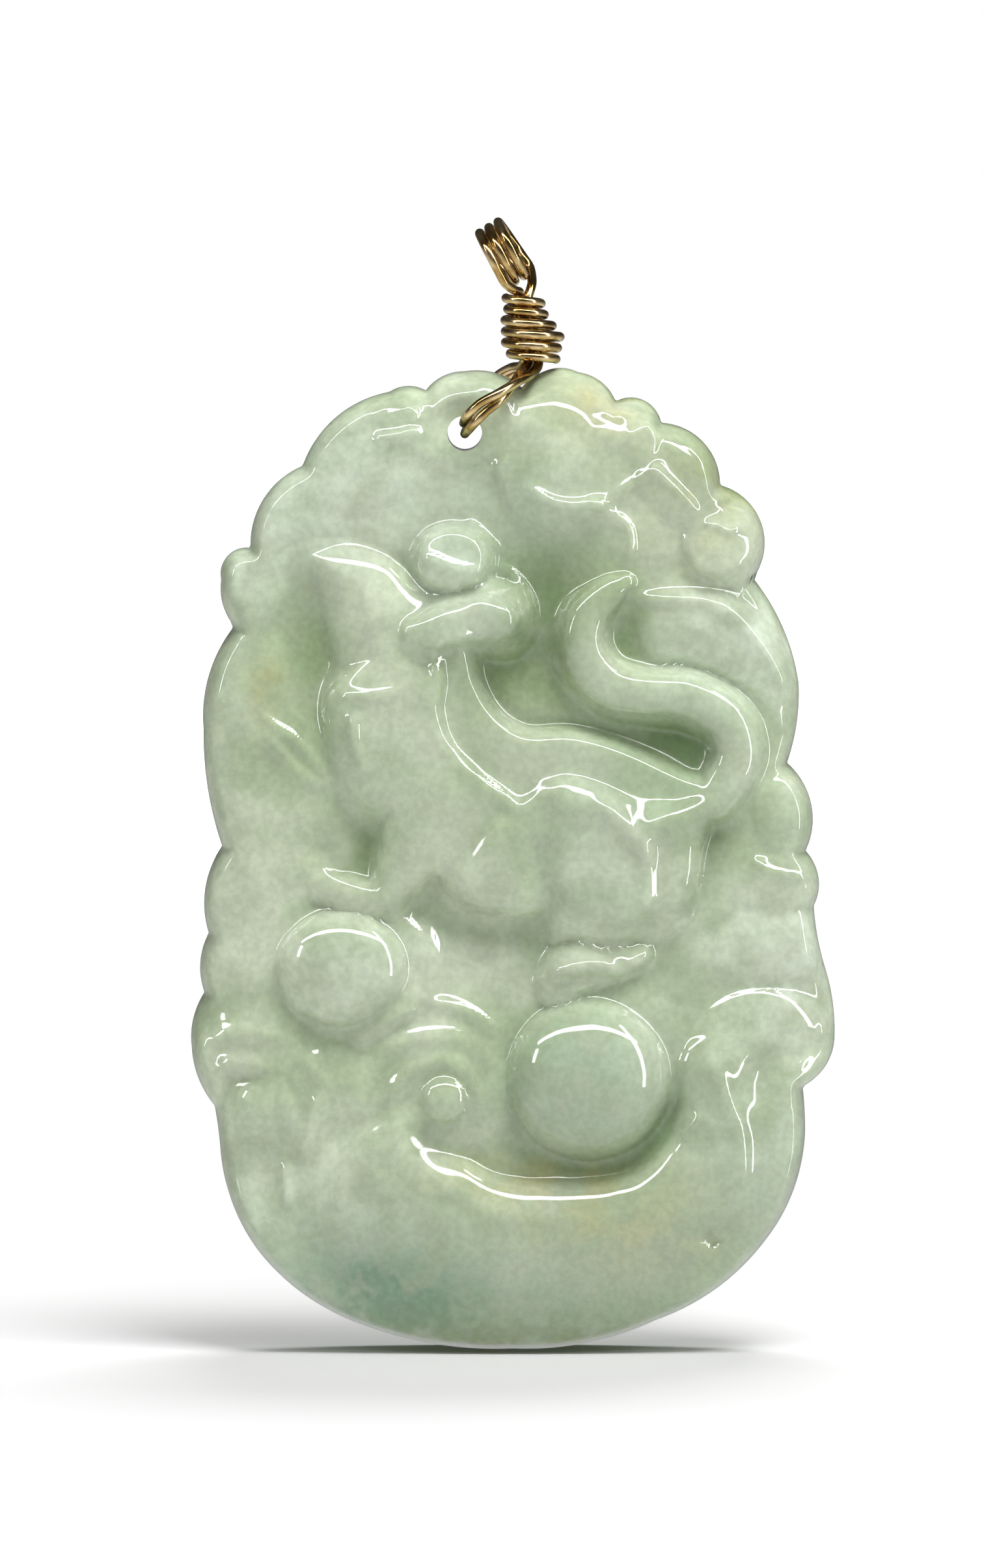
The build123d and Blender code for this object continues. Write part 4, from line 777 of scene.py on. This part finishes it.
def makeBail():
    loopPitch = wireDiameter + strandGap
    frontDepth = backPlane - jadeThickness * legLevel - pairReach - wireClearance
    backDepth = backPlane + backCrown + pairReach + wireClearance
    neck = [neckPoint(way) for way in wire["neckWays"]]
    line = neck + legLine(wire["frontLeg"], frontDepth) + legLine(wire["backLeg"], backDepth)
    middle = evenPath(smoothCurve(line, wire["legSteps"]))
    side, other = pathFrames(middle, (1, 0, 0))
    reached = np.linspace(0, 1, len(middle))
    twist = np.radians(np.interp(reached, wire["twistWays"], wire["twistShares"]) * legTwist)[:, None]
    offset = strandOffset * (np.cos(twist) * side + np.sin(twist) * other)
    first, second = middle - offset, middle + offset
    startTurn = wire["loopLead"]
    endTurn = 360 * loopTurns - startTurn
    turns = np.arange(startTurn, endTurn + 1, (endTurn - startTurn) / (loopTurns * wire["stepsPerTurn"]))
    half = 180 * loopTurns
    winding = [loopPoint(turn, loopPitch * (turn - half) / 360) for turn in turns]
    rise, fall = [], []
    for across, out, down in wire["leadRows"]:
        rise.append(loopPlace(-across * loopPitch, out * loopRadius, down * loopRadius))
        fall.insert(0, loopPlace(across * loopPitch, -out * loopRadius, down * loopRadius))
    near, skip = wire["leadNear"], wire["leadSkip"]
    ends = winding[:3 * skip:skip], winding[-1:-3 * skip:-skip][::-1]
    lead = smoothCurve(np.vstack([first[:near:skip][::-1], rise, ends[0]]), wire["leadSteps"])
    trail = smoothCurve(np.vstack([ends[1], fall, second[:near:skip]]), wire["leadSteps"])
    return drawnWire("bailWire", evenPath(np.vstack([
        first[near:][::-1], lead[1:-1], winding[2 * skip + 1:-2 * skip - 1], trail[1:-1], second[near:]])))


def makeWraps():
    count = len(wire["wrapRows"])
    tail = wire["wrapTail"]
    ways = np.linspace(tail, count - tail, int((count - 2 * tail) * wire["stepsPerTurn"]) + 1)
    places = np.arange(count) + 0.5
    side = np.interp(ways, places, [row[0] for row in wire["wrapRows"]]) * wireDiameter
    reach = np.interp(ways, places, [row[1] for row in wire["wrapRows"]]) * wireDiameter
    path = []
    for way, off, radius in zip(ways, side, reach):
        fall = neckLength - wrapFootGap - wrapPitch * (count - way)
        middle = neckPoint(fall / neckLength)
        angle = 2 * np.pi * (way + wire["wrapStart"])
        path.append([middle[0] + off + radius * np.cos(angle), radius * np.sin(angle), middle[2]])
    return drawnWire("wrapWire", np.array(path))


def linear(hexColour):
    channels = [int(hexColour[i:i + 2], 16) / 255 for i in (1, 3, 5)]
    return tuple(c / 12.92 if c <= 0.04045 else ((c + 0.055) / 1.055) ** 2.4 for c in channels) + (1.0,)


def addNode(tree, kind, settings=None, inputs=None):
    node = tree.nodes.new(kind)
    for name, value in (settings or {}).items():
        setattr(node, name, value)
    for name, value in (inputs or {}).items():
        socket = node.inputs[name]
        if isinstance(value, bpy.types.NodeSocket):
            tree.links.new(value, socket)
        else:
            socket.default_value = value
    return node


def newMaterial(name):
    material = bpy.data.materials.new(name)
    material.use_nodes = True
    material.node_tree.nodes.clear()
    return material


stone = {
    "celadon": "#AFBE9E",
    "pale": "#C4CEB5",
    # the next two colours are painted shade, laid darker and greener into the hollows
    "hollow": "#7F9568",
    "deepShadeGreen": "#67804F",
    # white is the stone's own white clouds and also painted light on the raised parts
    "white": "#CDD8C8",
    "warm": "#ADA269",
    "blueGreen": "#7B9980",
    # noises: scale per metre, detail, distortion
    "noises": {
        "clouds": (210, 3.0, 0.2),       # clouds of colour of about 5 mm
        "veils": (480, 4.0, 0.2),        # finer clouds of about 2 mm
        "grain": (2600, 2.0, 0.0),       # crystals of about 0.4 mm, coarser than real so that they show
        "waves": (330, 1.5, 0.0),        # slow waves of about 3 mm that the polishing leaves
    },
    "fray": 0.5,             # how far the veils fray the edge of a hollow
    # shares: what they are told by, from, to, least, most
    "shares": {
        "mottle": ("clouds", 0.35, 0.68, 0.0, 1.0),
        # painted shade, darker into the hollows, and painted light, whiter on the raised parts
        "shadeInHollow": ("frayedHollow", 0.4, 1.15, 0.0, 1.0),
        "deeperShadeInHollow": ("hollow", 0.5, 1.3, 0.0, 0.85),
        "raised": ("hollow", -0.15, -0.9, 0.0, 0.3),
        "whiteVeil": ("veils", 0.3, 0.66, 0.25, 1.0),
        "raisedVeil": ("veils", 0.3, 0.7, 0.4, 1.0),
        "greenVeil": ("veils", 0.32, 0.62, 0.3, 1.0),
        "warmVeil": ("veils", 0.36, 0.64, 0.15, 1.0),
        "deepVeil": ("veils", 0.3, 0.62, 0.5, 1.0),
        "lightness": ("veils", 0.25, 0.75, 0.87, 1.1),
        "sparkle": ("grain", 0.3, 0.7, 0.93, 1.06),
        "roughness": ("hollow", 0.1, 0.9, 0.06, 0.22),    # the polish hardly reaches into the hollows
    },
    # layers of colour over the celadon: colour, share, its veil, most. The hollow layers and the deep
    # clouds are painted shade, darker and greener into the hollows and towards the bottom, and the raised
    # layer is painted light, whiter on the raised parts
    "layers": [
        ("pale", "mottle", None, 1.0), ("hollow", "shadeInHollow", None, 1.0),
        ("deepShadeGreen", "deeperShadeInHollow", None, 1.0), ("white", "whiteCloud", "whiteVeil", 0.95),
        ("white", "raised", "raisedVeil", 1.0), ("blueGreen", "greenCloud", "greenVeil", 0.9),
        ("warm", "warmCloud", "warmVeil", 0.9), ("deepShadeGreen", "deepCloud", "deepVeil", 0.9),
    ],
    "waviness": 0.35,
    "waveHeight": 0.12,      # mm
    "scatter": 0.35,
    "scatterColour": (0.9, 1.0, 0.75),
    "scatterReach": 1.6,     # mm
    "ior": 1.66,
}


def polishedJadeite():
    # polished jadeite: waxy depth under a glassy surface, mottled from white to green, with painted shade
    # darkening and greening its hollows and painted light whitening its raised parts
    material = newMaterial("polishedJadeite")
    tree = material.node_tree
    coords = addNode(tree, "ShaderNodeTexCoord").outputs["Object"]
    fields = {}
    for name, (scale, detail, distortion) in stone["noises"].items():
        fields[name] = addNode(tree, "ShaderNodeTexNoise", None, {
            "Vector": coords, "Scale": scale, "Detail": detail, "Distortion": distortion}).outputs[0]
    for name in ("hollow", "whiteCloud", "warmCloud", "greenCloud", "deepCloud"):
        fields[name] = addNode(tree, "ShaderNodeAttribute", {"attribute_name": name}).outputs["Fac"]
    fields["frayedHollow"] = addNode(tree, "ShaderNodeMath", {"operation": "MULTIPLY_ADD"}, {
        0: fields["veils"], 1: stone["fray"], 2: fields["hollow"]}).outputs[0]
    for name, (source, low, high, least, most) in stone["shares"].items():
        fields[name] = addNode(tree, "ShaderNodeMapRange", {"interpolation_type": "SMOOTHSTEP"}, {
            "Value": fields[source], "From Min": low, "From Max": high, "To Min": least,
            "To Max": most}).outputs["Result"]

    colour = linear(stone["celadon"])
    for name, share, veil, most in stone["layers"]:
        veiled = addNode(tree, "ShaderNodeMath", {"operation": "MULTIPLY"}, {
            0: fields[share], 1: fields[veil] if veil else 1.0}).outputs[0]
        held = addNode(tree, "ShaderNodeMath", {"operation": "MINIMUM"}, {0: veiled, 1: most}).outputs[0]
        colour = addNode(tree, "ShaderNodeMix", {"data_type": "RGBA"}, {
            0: held, 6: colour, 7: linear(stone[name])}).outputs[2]
    bright = addNode(tree, "ShaderNodeMath", {"operation": "MULTIPLY"}, {
        0: fields["lightness"], 1: fields["sparkle"]}).outputs[0]
    colour = addNode(tree, "ShaderNodeVectorMath", {"operation": "SCALE"}, {
        0: colour, "Scale": bright}).outputs[0]
    bump = addNode(tree, "ShaderNodeBump", None, {
        "Height": fields["waves"], "Strength": stone["waviness"],
        "Distance": stone["waveHeight"] * mm}).outputs[0]
    shader = addNode(tree, "ShaderNodeBsdfPrincipled", {"subsurface_method": "RANDOM_WALK"}, {
        "Base Color": colour, "Normal": bump, "Roughness": fields["roughness"], "IOR": stone["ior"],
        "Subsurface Weight": stone["scatter"], "Subsurface Radius": stone["scatterColour"],
        "Subsurface Scale": stone["scatterReach"] * mm})
    addNode(tree, "ShaderNodeOutputMaterial", None, {"Surface": shader.outputs[0]})
    return material


# Clouds of colour, given one by one: name, turn, across, up, wide, high, strength
tints = {
    "white": [
        ("muzzle", 0, -100, 520, 200, 120, 500), ("earBall", 0, -180, 620, 130, 130, 400),
        ("flank", 10, 100, 100, 450, 160, 100), ("haunchWhite", 0, 240, -30, 200, 160, 300),
        ("chestWhite", 0, -330, 220, 200, 200, 200), ("leftFruitWhite", 0, -530, -210, 200, 180, 450),
        ("baseWhite", 20, -500, -720, 420, 220, 450), ("baseWhiteRight", 0, 700, -600, 200, 250, 350),
        ("baseMiddle", 0, 0, -850, 350, 120, 400), ("baseRight", 0, 380, -770, 250, 100, 400),
        ("bellyWhite", 0, -100, -170, 250, 100, 350), ("cloudLeft", -40, -620, 720, 340, 200, 800),
        ("rightPanel", 0, 680, 460, 220, 220, 750), ("rightSwell", 0, 820, -200, 260, 240, 750),
        ("topGround", 0, -100, 740, 300, 100, 500),
    ],
    "warm": [
        ("topWarm", 20, 260, 930, 120, 80, 600), ("leftSpot", 0, -755, 355, 55, 80, 600),
        ("underFruit", 0, 100, -640, 400, 70, 350), ("baseWarm", 10, 350, -750, 350, 140, 400),
        ("cloudWarm", 0, 600, 740, 200, 200, 350), ("rimWarm", 0, 100, -985, 700, 60, 500),
    ],
    "green": [
        ("haunchShade", 0, 270, -20, 200, 170, 100), ("bigFruitShade", 0, 230, -440, 260, 250, 500),
        ("baseGreen", 10, -400, -860, 260, 130, 800), ("bottomShade", 0, 0, -1050, 1000, 360, 750),
        ("rightGreen", 0, 820, -720, 200, 300, 400), ("tailGreen", 0, 450, 200, 300, 200, 250),
        ("topGreen", 0, -100, 720, 400, 140, 250),
    ],
    # painted shade: darker green laid into the hollows under the chin, in front of the nose, beside the
    # neck, over and behind the rump and under the tail tip, and along the bottom; bodyDeep and cloudShade
    # darken the middle of the body and a cloud at the upper right
    "deep": [
        ("bodyDeep", 0, -100, 120, 400, 200, 250), ("bottomDeepShade", 0, 0, -1000, 800, 160, 550),
        ("noseShade", 0, 60, 420, 170, 200, 800), ("muzzleShade", 0, 150, 600, 150, 160, 550),
        ("neckShade", 0, -640, 420, 100, 360, 480), ("rumpShade", 14, 500, 255, 200, 80, 600),
        ("tailShade", 0, 370, 500, 80, 120, 600), ("behindShade", 0, 620, 50, 120, 120, 400),
        ("cloudShade", 30, 580, 800, 180, 140, 420),
    ],
}

metal = {
    "dull": "#AB8C55",
    "bright": "#DFC797",
    "wearScale": 900,        # wear in patches of about 1 mm
    "wearDetail": 3.0,
    "brightWear": (0.35, 0.7),
    "roughWear": (0.3, 0.7),
    "roughness": (0.13, 0.24),
    "drawLines": 0.3,
    "lineHeight": 0.04,      # mm
}


def goldFilledWire():
    # gold-filled brass wire, drawn and bent by hand: bright along its length, with faint draw lines
    material = newMaterial("goldFilledWire")
    tree = material.node_tree
    coords = addNode(tree, "ShaderNodeTexCoord").outputs["Object"]
    wear = addNode(tree, "ShaderNodeTexNoise", None, {
        "Vector": coords, "Scale": metal["wearScale"], "Detail": metal["wearDetail"]}).outputs[0]
    shares = []
    for (low, high), (least, most) in ((metal["brightWear"], (0.0, 1.0)),
                                       (metal["roughWear"], metal["roughness"])):
        shares.append(addNode(tree, "ShaderNodeMapRange", {"interpolation_type": "SMOOTHSTEP"}, {
            "Value": wear, "From Min": low, "From Max": high, "To Min": least,
            "To Max": most}).outputs["Result"])
    colour = addNode(tree, "ShaderNodeMix", {"data_type": "RGBA"}, {
        0: shares[0], 6: linear(metal["dull"]), 7: linear(metal["bright"])}).outputs[2]
    bump = addNode(tree, "ShaderNodeBump", None, {
        "Height": wear, "Strength": metal["drawLines"], "Distance": metal["lineHeight"] * mm}).outputs[0]
    shader = addNode(tree, "ShaderNodeBsdfPrincipled", None, {
        "Base Color": colour, "Metallic": 1.0, "Roughness": shares[1], "Normal": bump})
    addNode(tree, "ShaderNodeOutputMaterial", None, {"Surface": shader.outputs[0]})
    return material


def dressed(piece, material):
    piece.data.materials.clear()
    piece.data.materials.append(material)


deselectAll()
jadeMaterial = polishedJadeite()
wireMaterial = goldFilledWire()

carvedJade = makePlaque()
dressed(carvedJade, jadeMaterial)
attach(carvedJade, "stone")
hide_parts("jade_plaque")

bailWire = makeBail()
dressed(bailWire, wireMaterial)
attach(bailWire, "bail")
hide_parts("bail_wire")

wrapWire = makeWraps()
dressed(wrapWire, wireMaterial)
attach(wrapWire, "bail")
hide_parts("wrap_wire")
print("pieces made")

studio = {
    "cameraAway": 0.62,      # m
    "cameraUp": 3.0,         # degrees above the horizon
    "viewAcross": 0.04,      # mm, the middle of the picture
    "viewUp": -30.45,
    "viewHigh": 86.53,       # mm of the object's plane in the picture's height
    "floorSize": 6,          # m
    "paper": "#CFCFCF",
    "paperRoughness": 0.9,
    "paperFade": (0.14, 0.6),    # m from the middle, where the paper runs into the white behind it
    "paperGlow": 1.1,
    # panels that face the plaque: azimuth, elevation, m away, m wide, m high, radiance, mirrored
    "panels": {
        # narrow strips that the glassy surface mirrors
        "topStrip": (0, 52, 0.4, 0.95, 0.045, 15.0, True),
        "leftStrip": (-58, 18, 0.4, 0.035, 0.10, 12.0, True),
        "rightStrip": (58, 20, 0.4, 0.035, 0.50, 12.0, True),
        # broad panels that light the room
        "roofPanel": (35, 68, 0.8, 0.35, 0.35, 16.0, False),
        "backPanel": (168, 60, 0.7, 0.3, 0.22, 15.0, False),
        "frontPanel": (15, 40, 0.7, 0.5, 0.4, 1.6, False),
    },
    "worldSoft": 0.26,
    "worldGloss": 0.06,      # what the polish mirrors from above
    "paperGloss": 1.05,      # and from below
    "glossHeights": (-0.75, 0.25),
    "worldSeen": 1.0,
}

floorDrop = min(point.co.z for point in carvedJade.data.vertices)
deselectAll()
bpy.ops.mesh.primitive_plane_add(size=studio["floorSize"], location=(0, 0, floorDrop))
studioFloor = bpy.context.object
studioFloor.name = "studioFloor"
bpy.ops.object.transform_apply(location=True, rotation=True, scale=True)
# matt white paper that glows more the further it is from the middle, so that it runs into the white behind
# it
floorMaterial = newMaterial("mattWhitePaper")
floorTree = floorMaterial.node_tree
paperCoords = addNode(floorTree, "ShaderNodeTexCoord").outputs["Object"]
farOff = addNode(floorTree, "ShaderNodeVectorMath", {"operation": "LENGTH"}, {
    0: paperCoords}).outputs["Value"]
glow = addNode(floorTree, "ShaderNodeMapRange", {"interpolation_type": "SMOOTHSTEP"}, {
    "Value": farOff, "From Min": studio["paperFade"][0], "From Max": studio["paperFade"][1],
    "To Min": 0.0, "To Max": studio["paperGlow"]}).outputs["Result"]
paper = addNode(floorTree, "ShaderNodeBsdfPrincipled", None, {
    "Base Color": linear(studio["paper"]), "Roughness": studio["paperRoughness"], "Specular IOR Level": 0.0,
    "Emission Color": (1, 1, 1, 1), "Emission Strength": glow})
addNode(floorTree, "ShaderNodeOutputMaterial", None, {"Surface": paper.outputs[0]})
dressed(studioFloor, floorMaterial)
# keeps the mirrored horizon off the polished fruit
studioFloor.visible_glossy = False

plaqueMiddle = np.array([0, 0, plaqueZ * mm])
for name, (azimuth, elevation, distance, across, high, bright, glossy) in studio["panels"].items():
    deselectAll()
    turn, rise = math.radians(azimuth), math.radians(elevation)
    away = np.array([math.sin(turn) * math.cos(rise), -math.cos(turn) * math.cos(rise), math.sin(rise)])
    bpy.ops.object.light_add(type="AREA", location=tuple(plaqueMiddle + away * distance),
                             rotation=(math.radians(90 - elevation), 0, turn))
    panel = bpy.context.object
    panel.name = name
    panel.data.shape = "RECTANGLE"
    panel.data.size, panel.data.size_y = across, high
    panel.data.energy = bright * math.pi * across * high
    panel.visible_glossy = glossy
    panel.visible_diffuse = not glossy
    panel.visible_camera = False

world = bpy.data.worlds.new("paleStudio")
bpy.context.scene.world = world
world.use_nodes = True
worldTree = world.node_tree
worldTree.nodes.clear()
rays = addNode(worldTree, "ShaderNodeLightPath").outputs
direction = addNode(worldTree, "ShaderNodeTexCoord").outputs["Generated"]
upward = addNode(worldTree, "ShaderNodeSeparateXYZ", None, {0: direction}).outputs["Z"]
# what the polish mirrors: pale from below, as off the paper, and dark above, without an edge
mirrored = addNode(worldTree, "ShaderNodeMapRange", {"interpolation_type": "SMOOTHSTEP"}, {
    "Value": upward, "From Min": studio["glossHeights"][0], "From Max": studio["glossHeights"][1],
    "To Min": studio["paperGloss"], "To Max": studio["worldGloss"]}).outputs["Result"]
brightness = studio["worldSoft"]
for ray, other in (("Is Glossy Ray", mirrored), ("Is Camera Ray", studio["worldSeen"])):
    brightness = addNode(worldTree, "ShaderNodeMix", {"data_type": "FLOAT"}, {
        0: rays[ray], 2: brightness, 3: other}).outputs[0]
sky = addNode(worldTree, "ShaderNodeBackground", None, {"Color": (1, 1, 1, 1), "Strength": brightness})
addNode(worldTree, "ShaderNodeOutputWorld", None, {"Surface": sky.outputs[0]})
bpy.context.scene.view_settings.view_transform = "Standard"
bpy.context.scene.view_settings.look = "None"

deselectAll()
cameraTilt = math.radians(studio["cameraUp"])
target = np.array([studio["viewAcross"], 0, studio["viewUp"]]) * mm
cameraPlace = target + studio["cameraAway"] * np.array([0, -math.cos(cameraTilt), math.sin(cameraTilt)])
bpy.ops.object.camera_add(location=tuple(cameraPlace), rotation=(math.radians(90) - cameraTilt, 0, 0))
camera = bpy.context.object
camera.data.sensor_width = 36
camera.data.lens = camera.data.sensor_width * studio["cameraAway"] / (studio["viewHigh"] * mm)
camera.data.clip_start = 0.01
camera.data.clip_end = 20
bpy.context.scene.camera = camera
print("studio set")
